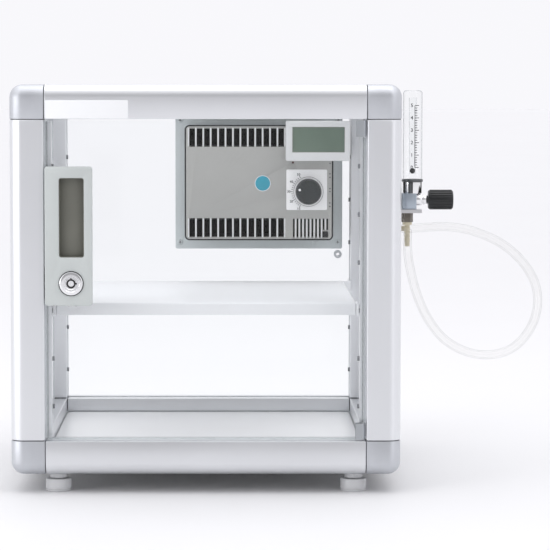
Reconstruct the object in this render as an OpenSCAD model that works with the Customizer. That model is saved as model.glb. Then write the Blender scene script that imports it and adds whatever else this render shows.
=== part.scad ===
// Bench-top clear cabinet incubator.
// +X is to the right seen from the front, the front faces -Y, +Z is up.
// The origin is on the bench, under the centre of the cabinet. Lengths are in millimetres.

/* [Frame] */
// Width of the cabinet over the bars
frame_w = 420; // [410:1:440]
// Depth of the cabinet over the bars
frame_d = 420; // [420:1:440]
// Height of the cabinet without its feet
frame_h = 420; // [420:1:440]
// Width of a square bar
bar = 37; // [36:0.5:38]
// Radius of the bars' outer edge
edge_r = 14; // [10:1:15]
// Wall of a hollow bar
bar_wall = 3; // [2:0.5:4]

/* [Feet] */
// Gap between the bench and the frame
foot_h = 20; // [18:1:24]
// Diameter of a foot pad
foot_d = 28; // [22:1:32]
// Distance from the centre to a foot, across
foot_x = 160; // [150:1:160]
// Radius of a foot's threaded stud
stud_r = 4; // [3:0.5:5]

/* [Panels] */
// Thickness of the clear panels and of the floor
panel_t = 5; // [4:0.5:6]
// Depth of the grooves that hold the panels
groove = 6; // [5:0.5:6]
// Thickness of the seals in the grooves
seal_t = 0.8; // [0.5:0.1:1]

/* [Door] */
// Thickness of the clear door
door_t = 6; // [5:0.5:6]
// Distance of the door's pivot from the right post
pivot_gap = 5.2; // [5.2:0.1:5.4]
// Radius of the pivot pins
pivot_r = 1.5; // [1.2:0.1:1.6]
// Width of the handle block
handle_w = 50.5; // [45:0.5:55]
// Height of the handle block
handle_h = 148.5; // [140:0.5:160]
// Thickness of the handle block
handle_t = 12; // [10:1:14]

/* [Shelf] */
// Height of the shelf's top above the bench
shelf_z = 203; // [200:1:206]
// Thickness of the shelf sheet
shelf_t = 1.5; // [1:0.1:2]
// Height of the shelf's front and rear lips
shelf_lip = 13.5; // [12:0.5:15]
// Distance between two peg levels
peg_pitch = 52; // [48:1:54]

/* [Thermal unit] */
// Width of the inner cover
cover_w = 174.6; // [173:0.2:176]
// Height of the inner cover
cover_h = 134.8; // [134:0.2:138]
// How far the inner cover stands out from its flange
cover_out = 58; // [56:1:60]
// How far the outer cover stands out from the rear panel
outer_out = 68; // [66:1:72]
// Side of the square fans
fan_side = 80; // [80:1:82]
// Diameter of the dial knob
knob_d = 31; // [26:1:34]

/* [Flow meter] */
// Outer diameter of the clear flow tube
tube_d = 21; // [19:0.5:21]
// Height of the clear flow tube
tube_h = 97; // [90:1:105]
// Outer diameter of the hose
hose_d = 9.5; // [9:0.5:10]

/* [Hidden] */

$fn = 48;
fine = 96;
eps = 0.5;

// Frame planes: outer faces, and the bars' inner faces
xo = frame_w / 2;
yo = frame_d / 2;
z0 = foot_h;
z1 = foot_h + frame_h;
xi = xo - bar;
yi = yo - bar;
zi0 = z0 + bar;
zi1 = z1 - bar;
mid = bar / 2;
void_end = bar - 10;
plug_end = bar + 6;
foot_y = yo - 29;

// Middle planes of the panels
px = xo - mid;
py = yo - mid;
pz_top = z1 - mid;
pz_floor = z0 + mid;
bite = groove - seal_t;
slot_w = panel_t + 2 * seal_t;
sheet_gap = 0.3;

// Door
door_y = -yo + 7;
door_front = door_y - door_t / 2;
door_back = door_y + door_t / 2;
door_edge = xi - 2.5;
door_right = xi - 3.5;
door_z0 = zi0 + 2.5;
door_z1 = zi1 - 2.5;
pivot_x = xi - pivot_gap;
seal_half = door_t / 2 + 1;
seal_edge = xi - 1.2;
block_h = 16.5;
block_w = 6.5;
block_bed = 3.2;
pin_len = 14;
handle_x0 = -xi + 1.5;
handle_x1 = handle_x0 + handle_w;
handle_z0 = 204;
handle_z1 = handle_z0 + handle_h;
handle_front = door_front - handle_t;
pocket_lo = [-156.3, 255.7];
pocket_hi = [-130.4, 339.6];
pocket_deep = 9.5;
lock_x = -143.5;
lock_z = 227.8;
barrel_r = 9.5;
core_r = 6;
run_gap = 0.05;
nut_t = 2.6;
cam_y = door_back + 3.8;
cam_t = 2.5;
lip_y = door_back + 1.7;
lip_t = 1.6;

// Shelf and its pegs
shelf_x = xi - 9.5;
shelf_y0 = -165;
shelf_y1 = 150;
standard_t = 7;
standard_y = -184;
standard_w = 15;
rear_peg_y = 181;
peg_r = 2.5;
peg_len = 2.2;
shank_r = 1.5;
shank_len = 4;
peg_z0 = 92;
peg_levels = 6;
shelf_level = 2;
hook_t = 1.6;

// Thermal unit; the duct with fans and sinks is to the left of the electronics
cover_mid = [61, 322.5];
unit_z = 320.9;
duct_x = 34.2;
flange_lo = [-40.2, 239.9];
flange_hi = [163.4, 402.5];
flange_screw_x = [-34.5, 158];
flange_screw_z = [247.9, 396.8];
flange_t = 3;
panel_in = py - panel_t / 2;
panel_out = py + panel_t / 2;
flange_y = panel_in - flange_t;
cover_y = flange_y - cover_out;
cover_wall = 2.5;
cover_r = 4;
outer_y = panel_out + outer_out;
duct_lo = [duct_x - 50, unit_z - 39];
duct_hi = [duct_x + 50, unit_z + 39];
grille_x0 = -22.3;
grille_pitch = 8.88;
grille_slot = 6.6;
grille_slots = 13;
grille_top = [365.7, 388.5];
grille_low = [256.8, 280];
vent_x0 = 101.9;
vent_pitch = 4.46;
vent_slot = 1.9;
vent_slots = 10;
switch_lo = [137.3, 256.8];
switch_hi = [143.9, 264.1];
switch_y = cover_y + 1;
switch_z = (switch_lo[1] + switch_hi[1]) / 2;
switch_pin_r = 0.75;
dial_x = 120.3;
dial_z = 311.9;
dial_plate_lo = [93.8, 289.9];
dial_plate_hi = [142.6, 338.5];
dial_plate_t = 1.2;
dial_gap = 0.5;
knob_t = 14;
shaft_r = 3;
lamp_x = 101.7;
lamp_z = 346.8;
marks_x = 146.1;
marks_z = [294.1, 298.3, 311.9, 315.5, 329, 333.2, 345.8];
fan_t = 15;
fan_bore = fan_side / 2 - 2.5;
fan_in_y = cover_y + 5;
fan_out_y = outer_y - 32;
sink_w = 112;
sink_h = 90;
fin_pitch = 6;
fin_t = 1.5;
fin_len = 29;
sink_base = 5;
module_side = 40;
board_x = [98, 144];
board_z = [262, 385];
board_y = cover_y + 22;
inlet_x = 122;
inlet_z = 276;
inlet_w = 27.5;
inlet_h = 20;

// Display
display_lo = [92.9, 349.1];
display_hi = [169.1, 396.6];
display_t = 18;
window_lo = [100.5, 359.3];
window_hi = [162.9, 389.5];
port_x = 158.3;
port_z = 232.8;

// Flow meter
meter_x = 226;
meter_y = -135;
meter_z = 313.9;
side_out = px + panel_t / 2;
tube_z = 336.4;
outlet_x = 220.5;
plate_z = 299.6;
plate_t = 3.9;
port_y = -112;
port_side_z = 281;
head_z = 321;
stem_r = 4;
float_r = 3;
supply_r = 3;
supply_x = 222.9;

// Route of the hose's centre line, from the flow meter's outlet to the side port
route = [
    [220.5, -135, 281], [221, -135, 262], [223, -134, 244], [229, -133, 218], [238, -132, 194],
    [249, -131, 175], [262, -130, 160], [277, -129, 150], [293, -128, 144], [309, -127, 142],
    [325, -126, 144], [339, -125, 150], [351, -124, 161], [360, -123, 175], [365, -122, 190],
    [366, -121, 206], [363, -120, 221], [356, -119, 235], [346, -118, 248], [334, -117, 259],
    [320, -116, 268], [304, -115, 275], [288, -114, 280], [272, -113, 282.5], [256, -112, 283],
    [240, -112, 282], [224, -112, 281], [205, -112, 281]];

// A box between two opposite corners
module box(lo, hi) {
    translate(lo) cube(hi - lo);
}

// A cylinder of radius r from y_lo to y_hi, along Y
module rod_y(x, z, y_lo, y_hi, r) {
    translate([x, y_lo, z]) rotate([-90, 0, 0]) cylinder(h = y_hi - y_lo, r = r);
}

// A cylinder of radius r from x_lo to x_hi, along X
module rod_x(x_lo, x_hi, y, z, r) {
    translate([x_lo, y, z]) rotate([0, 90, 0]) cylinder(h = x_hi - x_lo, r = r);
}

// A plate in the XZ plane with rounded corners, between two corners and two depths
module plate_y(lo, hi, y_lo, y_hi, r) {
    translate([0, y_hi, 0]) rotate([90, 0, 0]) linear_extrude(y_hi - y_lo) rounded(lo, hi, r);
}

module rounded(lo, hi, r) {
    translate([lo[0] + r, lo[1]]) square([hi[0] - lo[0] - 2 * r, hi[1] - lo[1]]);
    translate([lo[0], lo[1] + r]) square([hi[0] - lo[0], hi[1] - lo[1] - 2 * r]);
    for (x = [lo[0] + r, hi[0] - r], z = [lo[1] + r, hi[1] - r]) translate([x, z]) circle(r = r);
}

module both_sides() {
    children();
    mirror([1, 0, 0]) children();
}

module both_ends() {
    children();
    mirror([0, 1, 0]) children();
}

// Turns a shape made at the bottom of the frame over to its top
module to_top() {
    translate([0, 0, z0 + z1]) mirror([0, 0, 1]) children();
}

// ---- Frame ----

// Section of a bar. Its outer faces lie on the axes, and a groove may open on either inner face.
module bar_profile(groove_x, groove_y) {
    difference() {
        bar_outline(0, bar);
        bar_outline(bar_wall, void_end);
        if (groove_x)
            translate([bar - groove, mid - slot_w / 2]) square([groove + 1, slot_w]);
        if (groove_y)
            translate([mid - slot_w / 2, bar - groove]) square([slot_w, groove + 1]);
    }
}

module bar_outline(inset, far) {
    translate([edge_r, edge_r]) circle(r = edge_r - inset, $fn = fine);
    translate([edge_r, inset]) square([far - edge_r, far - inset]);
    translate([inset, edge_r]) square([far - inset, far - edge_r]);
}

module front_left_post() {
    translate([-xo, -yo, zi0]) linear_extrude(zi1 - zi0) bar_profile(false, true);
}

module post_front_left() {
    color("silver") front_left_post();
}

module post_front_right() {
    color("silver") mirror([1, 0, 0]) front_left_post();
}

// A rear post has the blind holes of its shelf pegs
module rear_left_post() {
    difference() {
        mirror([0, 1, 0]) translate([-xo, -yo, zi0]) linear_extrude(zi1 - zi0) bar_profile(true, true);
        for (i = [0 : peg_levels - 1])
            rod_x(-xi - shank_len, -xi + 1, rear_peg_y, peg_z0 + i * peg_pitch, shank_r);
    }
}

module post_rear_left() {
    color("silver") rear_left_post();
}

module post_rear_right() {
    color("silver") mirror([1, 0, 0]) rear_left_post();
}

module rail_along_x(groove_y) {
    translate([-xi, -yo, z0]) rotate([90, 0, 90]) linear_extrude(2 * xi) bar_profile(true, groove_y);
}

module rail_along_y() {
    translate([-xo, yi, z0]) rotate([90, 0, 0]) linear_extrude(2 * yi) bar_profile(true, true);
}

module foot_holes() {
    for (x = [-foot_x, foot_x])
        translate([x, -foot_y, z0 - 1]) cylinder(h = stud_bite + 2, r = stud_r + run_gap);
}

module pivot_hole() {
    translate([pivot_x, door_y, zi0 - pin_len / 2]) cylinder(h = pin_len, r = pivot_r);
}

module rail_front_bottom() {
    color("silver") difference() {
        rail_along_x(false);
        foot_holes();
        pivot_hole();
    }
}

module rail_front_top() {
    color("silver") to_top() difference() {
        rail_along_x(false);
        pivot_hole();
    }
}

module rail_rear_bottom() {
    color("silver") mirror([0, 1, 0]) difference() {
        rail_along_x(true);
        foot_holes();
    }
}

module rail_rear_top() {
    color("silver") to_top() mirror([0, 1, 0]) rail_along_x(true);
}

module side_rails_bottom() {
    color("silver") both_sides() rail_along_y();
}

module side_rails_top() {
    color("silver") to_top() both_sides() rail_along_y();
}

// A corner block: a cube whose three outer edges and outer corner are round, with a plug for each bar
module corner_block() {
    plug = [8, void_end - 1.5];
    translate([edge_r, edge_r, edge_r]) sphere(r = edge_r, $fn = fine);
    translate([edge_r, edge_r, edge_r]) {
        cylinder(h = bar - edge_r, r = edge_r, $fn = fine);
        rotate([0, 90, 0]) cylinder(h = bar - edge_r, r = edge_r, $fn = fine);
        rotate([-90, 0, 0]) cylinder(h = bar - edge_r, r = edge_r, $fn = fine);
    }
    box([0, edge_r, edge_r], [bar, bar, bar]);
    box([edge_r, 0, edge_r], [bar, bar, bar]);
    box([edge_r, edge_r, 0], [bar, bar, bar]);
    box([plug[0], plug[0], bar - 1], [plug[1], plug[1], plug_end]);
    box([plug[0], bar - 1, plug[0]], [plug[1], plug_end, plug[1]]);
    box([bar - 1, plug[0], plug[0]], [plug_end, plug[1], plug[1]]);
}

module lower_corner_blocks() {
    both_ends() both_sides() translate([-xo, -yo, z0]) corner_block();
}

module corner_blocks() {
    color("darkgray") {
        lower_corner_blocks();
        to_top() lower_corner_blocks();
    }
}

// ---- Panels ----

// A sheet in the XY plane whose corners are cut out, so that its edges reach into the grooves
module notched(half_x, half_y, reach) {
    square([2 * (half_x + reach), 2 * (half_y - sheet_gap)], center = true);
    square([2 * (half_x - sheet_gap), 2 * (half_y + reach)], center = true);
}

module sheet(half_x, half_y) {
    translate([0, 0, -panel_t / 2]) linear_extrude(panel_t) notched(half_x, half_y, bite);
}

module seal_frame(half_x, half_y) {
    lip = 0.4;
    difference() {
        translate([0, 0, -slot_w / 2]) linear_extrude(slot_w) difference() {
            notched(half_x, half_y, groove);
            square([2 * (half_x - lip), 2 * (half_y - lip)], center = true);
        }
        sheet(half_x, half_y);
    }
}

module at_top() {
    translate([0, 0, pz_top]) children();
}

module at_floor() {
    translate([0, 0, pz_floor]) children();
}

module at_left() {
    translate([-px, 0, (zi0 + zi1) / 2]) rotate([0, 90, 0]) children();
}

module at_rear() {
    translate([0, py, (zi0 + zi1) / 2]) rotate([90, 0, 0]) children();
}

half_z = (zi1 - zi0) / 2;

module panel_top() {
    color("lightcyan", 0.4) at_top() sheet(xi, yi);
}

module panel_left() {
    color("lightcyan", 0.4) at_left() sheet(half_z, yi);
}

module panel_right() {
    color("lightcyan", 0.4) difference() {
        mirror([1, 0, 0]) at_left() sheet(half_z, yi);
        rod_x(px - panel_t, px + panel_t, port_y, port_side_z, stem_r + run_gap);
        bracket_screws(shank_r);
    }
}

module panel_rear() {
    color("lightcyan", 0.4) difference() {
        at_rear() sheet(xi, half_z);
        box([duct_lo[0], panel_in - 1, duct_lo[1]], [duct_hi[0], panel_out + 1, duct_hi[1]]);
        rod_y(port_x, port_z, panel_in - 1, panel_out + 1, 3.5);
        flange_screws(shank_r);
        // way for the wires between the two covers
        rod_y(inlet_x, unit_z, panel_in - 1, panel_out + 1, 8);
    }
}

module floor_panel() {
    color("gainsboro") at_floor() sheet(xi, yi);
}

module panel_seals() {
    color("whitesmoke") {
        at_top() seal_frame(xi, yi);
        at_floor() seal_frame(xi, yi);
        both_sides() at_left() seal_frame(half_z, yi);
        at_rear() seal_frame(xi, half_z);
    }
}

// ---- Feet ----

pad_h = 13.5;
collar_z = pad_h + 0.8;
collar_r = 9.75;
stud_bite = 13;

module foot_at(x, y) {
    color("darkgray") translate([x, y, 0]) {
        cylinder(h = 1, r1 = foot_d / 2 - 1, r2 = foot_d / 2);
        translate([0, 0, 1]) cylinder(h = pad_h - 2, r = foot_d / 2);
        translate([0, 0, pad_h - 1]) cylinder(h = 1, r1 = foot_d / 2, r2 = foot_d / 2 - 1);
        cylinder(h = z0 + stud_bite, r = stud_r);
    }
}

module foot_front_left() {
    foot_at(-foot_x, -foot_y);
}

module foot_front_right() {
    foot_at(foot_x, -foot_y);
}

module foot_rear_left() {
    foot_at(-foot_x, foot_y);
}

module foot_rear_right() {
    foot_at(foot_x, foot_y);
}

module foot_collars() {
    color("silver") both_ends() both_sides() translate([-foot_x, -foot_y, collar_z]) difference() {
        cylinder(h = z0 - collar_z, r = collar_r);
        translate([0, 0, -1]) cylinder(h = z0 - collar_z + 2, r = stud_r + run_gap);
    }
}

// ---- Door ----

// The door's outline, with a notch at each right corner for a hinge block
module door_sheet() {
    difference() {
        box([-door_edge, door_front, door_z0], [door_right, door_back, door_z1]);
        for (z = [door_z0 - 1, door_z1 - block_h])
            box([pivot_x - block_bed, door_front - 1, z], [xi, door_back + 1, z + block_h + 1]);
    }
}

module lock_hole(r) {
    rod_y(lock_x, lock_z, handle_front - 1, door_back + 1, r);
}

module door_panel() {
    color("lightcyan", 0.4) difference() {
        door_sheet();
        lock_hole(barrel_r);
    }
}

// Edge seal pushed on three sides of the door; its right side is round, because that side turns
module door_seal() {
    cover = 1.4;
    y0 = door_y - seal_half;
    y1 = door_y + seal_half;
    color("gainsboro") difference() {
        union() {
            box([-seal_edge, y0, zi0 + 1.2], [seal_edge - seal_half, y1, door_z1]);
            translate([seal_edge - seal_half, door_y, zi0 + 1.2])
                cylinder(h = door_z1 - zi0 - 1.2, r = seal_half);
        }
        box([-door_edge + cover, y0 - 1, door_z0 + cover], [door_right - cover, y1 + 1, door_z1 + 1]);
        box([-door_edge, door_front, door_z0], [door_right, door_back, door_z1 + 1]);
        box([handle_x0 - 1, y0 - 1, handle_z0 - 0.2], [handle_x1, door_front, handle_z1 + 0.2]);
        for (z = [zi0, zi1 - block_h - 3])
            box([pivot_x - block_w - 0.2, y0 - 1, z], [xi, y1 + 1, z + block_h + 3]);
    }
}

// Clamping block round one corner of the door, with the blind bore of its pivot pin
module hinge_block() {
    zb = zi0 + 1.2;
    zt = door_z0 + block_h;
    difference() {
        union() {
            box([pivot_x - block_w, door_y - seal_half, zb], [pivot_x, door_y + seal_half, zt]);
            translate([pivot_x, door_y, zb]) cylinder(h = zt - zb, r = seal_half);
        }
        box([pivot_x - block_w - 1, door_front, door_z0], [pivot_x - block_bed, door_back, zt + 1]);
        translate([pivot_x, door_y, zb - 1]) cylinder(h = pin_len / 2 + 1, r = pivot_r + run_gap);
    }
}

module door_hinge_blocks() {
    color("silver") {
        hinge_block();
        to_top() hinge_block();
    }
}

module hinge_pin() {
    translate([pivot_x, door_y, zi0 - pin_len / 2]) cylinder(h = pin_len, r = pivot_r);
}

module hinge_pins() {
    color("silver") {
        hinge_pin();
        to_top() hinge_pin();
    }
}

module handle_block() {
    color("lightgray") difference() {
        plate_y([handle_x0, handle_z0], [handle_x1, handle_z1], handle_front, door_front, 3);
        plate_y(pocket_lo, pocket_hi, handle_front - 1, handle_front + pocket_deep, 2.5);
        lock_hole(barrel_r);
    }
}

// Barrel with its face ring and the nut that clamps it behind the door
module lock_barrel() {
    face = 2.5;
    color("silver") difference() {
        union() {
            rod_y(lock_x, lock_z, handle_front - face, handle_front, 13.4);
            rod_y(lock_x, lock_z, handle_front, door_back + nut_t, barrel_r);
            translate([lock_x, door_back, lock_z]) rotate([-90, 0, 0])
                cylinder(h = nut_t, r = 13, $fn = 6);
        }
        rod_y(lock_x, lock_z, handle_front - face - 1, door_back + nut_t + 1, core_r + run_gap);
    }
}

// Key core with a ring-shaped key way
module lock_core() {
    face_y = handle_front - 2.1;
    color("white") difference() {
        union() {
            rod_y(lock_x, lock_z, face_y, cam_y - 0.4, core_r);
            rod_y(lock_x, lock_z, cam_y - 0.4, cam_y + cam_t + 0.6, 4);
        }
        difference() {
            rod_y(lock_x, lock_z, face_y - 1, face_y + 5, 5.2);
            rod_y(lock_x, lock_z, face_y - 2, face_y + 6, 3.5);
        }
    }
}

// Cam that turns behind the strike; it hangs down while the door is unlocked
module lock_cam() {
    cam_len = 26.5;
    color("gray") difference() {
        union() {
            rod_y(lock_x, lock_z, cam_y, cam_y + cam_t, 7.5);
            box([lock_x - 5, cam_y, lock_z - cam_len], [lock_x + 5, cam_y + cam_t, lock_z]);
        }
        rod_y(lock_x, lock_z, cam_y - 1, cam_y + cam_t + 1, 4);
    }
}

module strike_plate() {
    zs = [lock_z - 18, lock_z + 18];
    color("silver") {
        box([-xi, lip_y, zs[0]], [-xi + 9, lip_y + lip_t, zs[1]]);
        box([-xi, lip_y, zs[0]], [-xi + 1.2, lip_y + 6, zs[1]]);
    }
}

// ---- Shelf ----

// A folded sheet, open below
module shelf() {
    color("gainsboro") difference() {
        box([-shelf_x, shelf_y0, shelf_z - shelf_lip], [shelf_x, shelf_y1, shelf_z]);
        box([-shelf_x + shelf_t, shelf_y0 + shelf_t, shelf_z - shelf_lip - 1],
            [shelf_x - shelf_t, shelf_y1 - shelf_t, shelf_z - shelf_t]);
    }
}

peg_z = peg_z0 + shelf_level * peg_pitch;

// Cuts the notch with which a hook sits on a peg
module peg_notch(x_lo, x_hi, y) {
    notch = peg_r + 0.3;
    top = peg_z - 0.2;
    rod_x(x_lo, x_hi, y, top, notch);
    box([x_lo, y - notch, peg_z - 9], [x_hi, y + notch, top]);
}

module left_hooks() {
    hook_z = [peg_z - 6, shelf_z - 0.5];
    rear_x = -xi + 0.7;
    difference() {
        union() {
            box([-shelf_x - hook_t, standard_y - 5, hook_z[0]], [-shelf_x, shelf_y0 + 20, hook_z[1]]);
            box([rear_x, shelf_y1, hook_z[0]], [rear_x + hook_t, rear_peg_y + 6, hook_z[1]]);
            box([rear_x, shelf_y1, hook_z[0]], [-shelf_x + 20, shelf_y1 + hook_t, hook_z[1]]);
        }
        peg_notch(-shelf_x - hook_t - 1, -shelf_x + 1, standard_y);
        peg_notch(rear_x - 1, rear_x + hook_t + 1, rear_peg_y);
    }
}

module shelf_hooks() {
    color("black") both_sides() left_hooks();
}

// Strips on the front posts, with the blind holes of their pegs
module left_standard() {
    half = standard_w / 2;
    face = -xi + standard_t;
    difference() {
        box([-xi, standard_y - half, zi0 + 3], [face, standard_y + half, zi1 - 3]);
        for (i = [0 : peg_levels - 1])
            rod_x(face - shank_len, face + 1, standard_y, peg_z0 + i * peg_pitch, shank_r);
    }
}

module shelf_standards() {
    color("silver") both_sides() left_standard();
}

module peg(x, y, z) {
    rod_x(x - shank_len, x + 0.1, y, z, shank_r);
    rod_x(x, x + peg_len, y, z, peg_r);
}

module shelf_pegs() {
    color("gray") both_sides() for (i = [0 : peg_levels - 1]) {
        peg(-xi + standard_t, standard_y, peg_z0 + i * peg_pitch);
        peg(-xi, rear_peg_y, peg_z0 + i * peg_pitch);
    }
}

// ---- Thermal unit ----

module flange_screws(r) {
    for (x = flange_screw_x, z = flange_screw_z) rod_y(x, z, flange_y - 0.1, flange_y + 6, r);
}

module unit_flange() {
    seat = 3.5;
    color("slategray") difference() {
        plate_y(flange_lo, flange_hi, flange_y, panel_in, 2);
        box([cover_lo[0] + seat, flange_y - 1, cover_lo[1] + seat],
            [cover_hi[0] - seat, panel_in + 1, cover_hi[1] - seat]);
        flange_screws(shank_r);
    }
}

cover_lo = cover_mid - [cover_w, cover_h] / 2;
cover_hi = cover_mid + [cover_w, cover_h] / 2;
inset = [cover_wall, cover_wall];

module grille(z_range) {
    for (i = [0 : grille_slots - 1]) {
        x = grille_x0 + i * grille_pitch;
        box([x, cover_y - 1, z_range[0]], [x + grille_slot, cover_y + cover_wall + 1, z_range[1]]);
    }
}

module vents() {
    for (i = [0 : vent_slots - 1]) {
        x = vent_x0 + i * vent_pitch;
        low = i < vent_slots - 2 ? 256.2 : switch_hi[1] + 1.6;
        box([x, cover_y - 1, low], [x + vent_slot, cover_y + cover_wall + 1, 279.4]);
    }
}

module fan_corners() {
    for (x = [-1, 1], z = [-1, 1])
        translate([duct_x + x * (fan_side / 2 - 5), 0, unit_z + z * (fan_side / 2 - 5)]) children();
}

module unit_inner_cover() {
    wall_in = cover_y + cover_wall;
    color("darkgray") {
        difference() {
            plate_y(cover_lo, cover_hi, cover_y, flange_y, cover_r);
            plate_y(cover_lo + inset, cover_hi - inset, wall_in, flange_y + 1, cover_r - 2);
            grille(grille_top);
            grille(grille_low);
            vents();
            box([switch_lo[0], cover_y - 1, switch_lo[1]], [switch_hi[0], wall_in + 1, switch_hi[1]]);
            rod_y(dial_x, dial_z, cover_y - 1, wall_in + 1, shaft_r + 0.3);
            rod_y(lamp_x, lamp_z, cover_y - 1, wall_in + 1, 1.2);
            for (z = marks_z) rod_y(marks_x, z, cover_y - 1, wall_in + 1, 0.9);
        }
        // pin on which the rocker turns
        rod_x(switch_lo[0] - 0.5, switch_hi[0] + 0.5, switch_y, switch_z, switch_pin_r);
        fan_corners() rod_y(0, 0, wall_in, fan_in_y, 3.5);
        for (x = [board_x[0] + 4, board_x[1] - 4], z = [board_z[0] + 22, board_z[1] - 4])
            rod_y(x, z, wall_in, board_y, 2.5);
    }
}

module unit_outer_cover() {
    wall_in = outer_y - cover_wall;
    color("darkgray") {
        difference() {
            plate_y(cover_lo, cover_hi, panel_out, outer_y, cover_r);
            plate_y(cover_lo + inset, cover_hi - inset, panel_out - 1, wall_in, cover_r - 2);
            // outlet slots behind the exhaust fan
            for (x = [-32 : 8 : 32])
                box([duct_x + x - 2.5, wall_in - 1, unit_z - 36], [duct_x + x + 2.5, outer_y + 1, unit_z + 36]);
            // intake slots in the top and bottom walls, beside the fins
            for (x = [-40 : 8 : 40])
                box([duct_x + x - 2, panel_out + 8, cover_lo[1] - 1],
                    [duct_x + x + 2, panel_out + 30, cover_hi[1] + 1]);
            box([inlet_x - inlet_w / 2, wall_in - 1, inlet_z - inlet_h / 2],
                [inlet_x + inlet_w / 2, outer_y + 1, inlet_z + inlet_h / 2]);
        }
        fan_corners() rod_y(0, 0, fan_out_y + fan_t, wall_in, 3.5);
    }
}

// A square fan frame, its base at y = 0, with a spider that carries the shaft
module fan_frame() {
    difference() {
        plate_y([-fan_side / 2, -fan_side / 2], [fan_side / 2, fan_side / 2], 0, fan_t, 4);
        rod_y(0, 0, -1, fan_t + 1, fan_bore);
    }
    rod_y(0, 0, 0, 2, 15);
    rod_y(0, 0, 1, fan_t - 1, 1.5);
    for (a = [30, 150, 270]) rotate([0, a, 0]) box([13, 0, -1.5], [fan_bore + 0.5, 2, 1.5]);
}

module fan_frames() {
    color("black") {
        translate([duct_x, fan_in_y, unit_z]) fan_frame();
        translate([duct_x, fan_out_y, unit_z]) fan_frame();
    }
}

// Hub and blades, which turn on the frame's shaft
module fan_rotor() {
    blades = 7;
    hub_r = 14.5;
    difference() {
        union() {
            rod_y(0, 0, 3, fan_t - 1.5, hub_r);
            for (i = [0 : blades - 1]) rotate([0, i * 360 / blades, 0])
                translate([hub_r - 1, fan_t / 2 + 0.5, 0]) rotate([35, 0, 0])
                    box([0, -0.6, -8.5], [fan_bore - hub_r - 0.5, 0.6, 8.5]);
        }
        rod_y(0, 0, 2, fan_t, 1.5 + run_gap);
    }
}

module circulation_fan() {
    color("dimgray") translate([duct_x, fan_in_y, unit_z]) fan_rotor();
}

module exhaust_fan() {
    color("dimgray") translate([duct_x, fan_out_y, unit_z]) fan_rotor();
}

// A finned sink; its base plate starts at y = 0 and the fins point along +Y
module finned_sink() {
    fins = floor((sink_w - fin_t) / fin_pitch);
    box([-sink_w / 2, 0, -sink_h / 2], [sink_w / 2, sink_base, sink_h / 2]);
    for (i = [0 : fins]) {
        x = -fins * fin_pitch / 2 + i * fin_pitch;
        box([x - fin_t / 2, sink_base - eps, -sink_h / 2], [x + fin_t / 2, sink_base + fin_len, sink_h / 2]);
    }
}

module cold_sink() {
    color("silver") translate([duct_x, panel_in, unit_z]) mirror([0, 1, 0]) finned_sink();
}

module hot_sink() {
    color("silver") translate([duct_x, panel_out, unit_z]) finned_sink();
}

module thermoelectric_module() {
    half = module_side / 2;
    color("white") box([duct_x - half, panel_in, unit_z - half], [duct_x + half, panel_out, unit_z + half]);
}

// Circuit board with the dial's potentiometer, a transformer, a relay and capacitors
module control_board() {
    back = board_y + 1.6;
    pot_y = board_y - 9;
    color("seagreen") difference() {
        union() {
            box([board_x[0], board_y, board_z[0]], [board_x[1], back, board_z[1]]);
            rod_y(dial_x, dial_z, pot_y, board_y + 0.1, 8);
            box([104, back - 0.1, 345], [140, back + 22, 377]);
            box([104, back - 0.1, 318], [120, back + 15, 338]);
            for (x = [126, 138], z = [290, 306]) rod_y(x, z, back - 0.1, back + 14, 5);
        }
        rod_y(dial_x, dial_z, pot_y - 1, pot_y + 6, shaft_r + run_gap);
    }
}

module dial_plate() {
    color("white") difference() {
        plate_y(dial_plate_lo, dial_plate_hi, cover_y - dial_plate_t, cover_y, 1);
        rod_y(dial_x, dial_z, cover_y - 3, cover_y + 1, shaft_r + 0.3);
    }
}

module dial_knob() {
    back = cover_y - dial_plate_t - dial_gap;
    grips = 18;
    color("dimgray") {
        difference() {
            rod_y(dial_x, dial_z, back - knob_t, back, knob_d / 2);
            for (i = [0 : grips - 1]) translate([dial_x, 0, dial_z]) rotate([0, i * 360 / grips, 0])
                rod_y(knob_d / 2 + 0.5, 0, back - knob_t - 1, back - 3, 1.2);
            // pointer mark
            rod_y(dial_x - 10.9, dial_z + 2.6, back - knob_t - 1, back - knob_t + 0.6, 1.5);
        }
        rod_y(dial_x, dial_z, back - 1, cover_y + 18, shaft_r);
    }
}

// Rocker with a shallow valley across its front, turning about an X axis in the cover's cut-out
module power_switch() {
    half = (switch_hi[1] - switch_lo[1]) / 2 - 0.6;
    color("black") difference() {
        translate([switch_lo[0] + 0.4, switch_y, switch_z]) rotate([90, 0, 90])
            linear_extrude(switch_hi[0] - switch_lo[0] - 0.8)
                polygon([[-2.6, -half], [-1.6, 0], [-2.6, half], [2, half], [2, -half]]);
        rod_x(switch_lo[0], switch_hi[0], switch_y, switch_z, switch_pin_r + run_gap);
    }
}

// Three-pin mains inlet, open to the rear
module power_inlet() {
    front = outer_y - 16;
    color("black") {
        difference() {
            union() {
                plate_y([inlet_x - inlet_w / 2 - 3, inlet_z - inlet_h / 2 - 3],
                    [inlet_x + inlet_w / 2 + 3, inlet_z + inlet_h / 2 + 3], outer_y, outer_y + 2, 2);
                box([inlet_x - inlet_w / 2, front, inlet_z - inlet_h / 2],
                    [inlet_x + inlet_w / 2, outer_y + 0.5, inlet_z + inlet_h / 2]);
            }
            plate_y([inlet_x - 12.2, inlet_z - 8.2], [inlet_x + 12.2, inlet_z + 8.2],
                front + 2, outer_y + 3, 2);
        }
        for (p = [[-7, -1], [7, -1], [0, 3]])
            box([inlet_x + p[0] - 1, front + 1, inlet_z + p[1] - 2],
                [inlet_x + p[0] + 1, outer_y - 1, inlet_z + p[1] + 2]);
    }
}

// ---- Display ----

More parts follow.
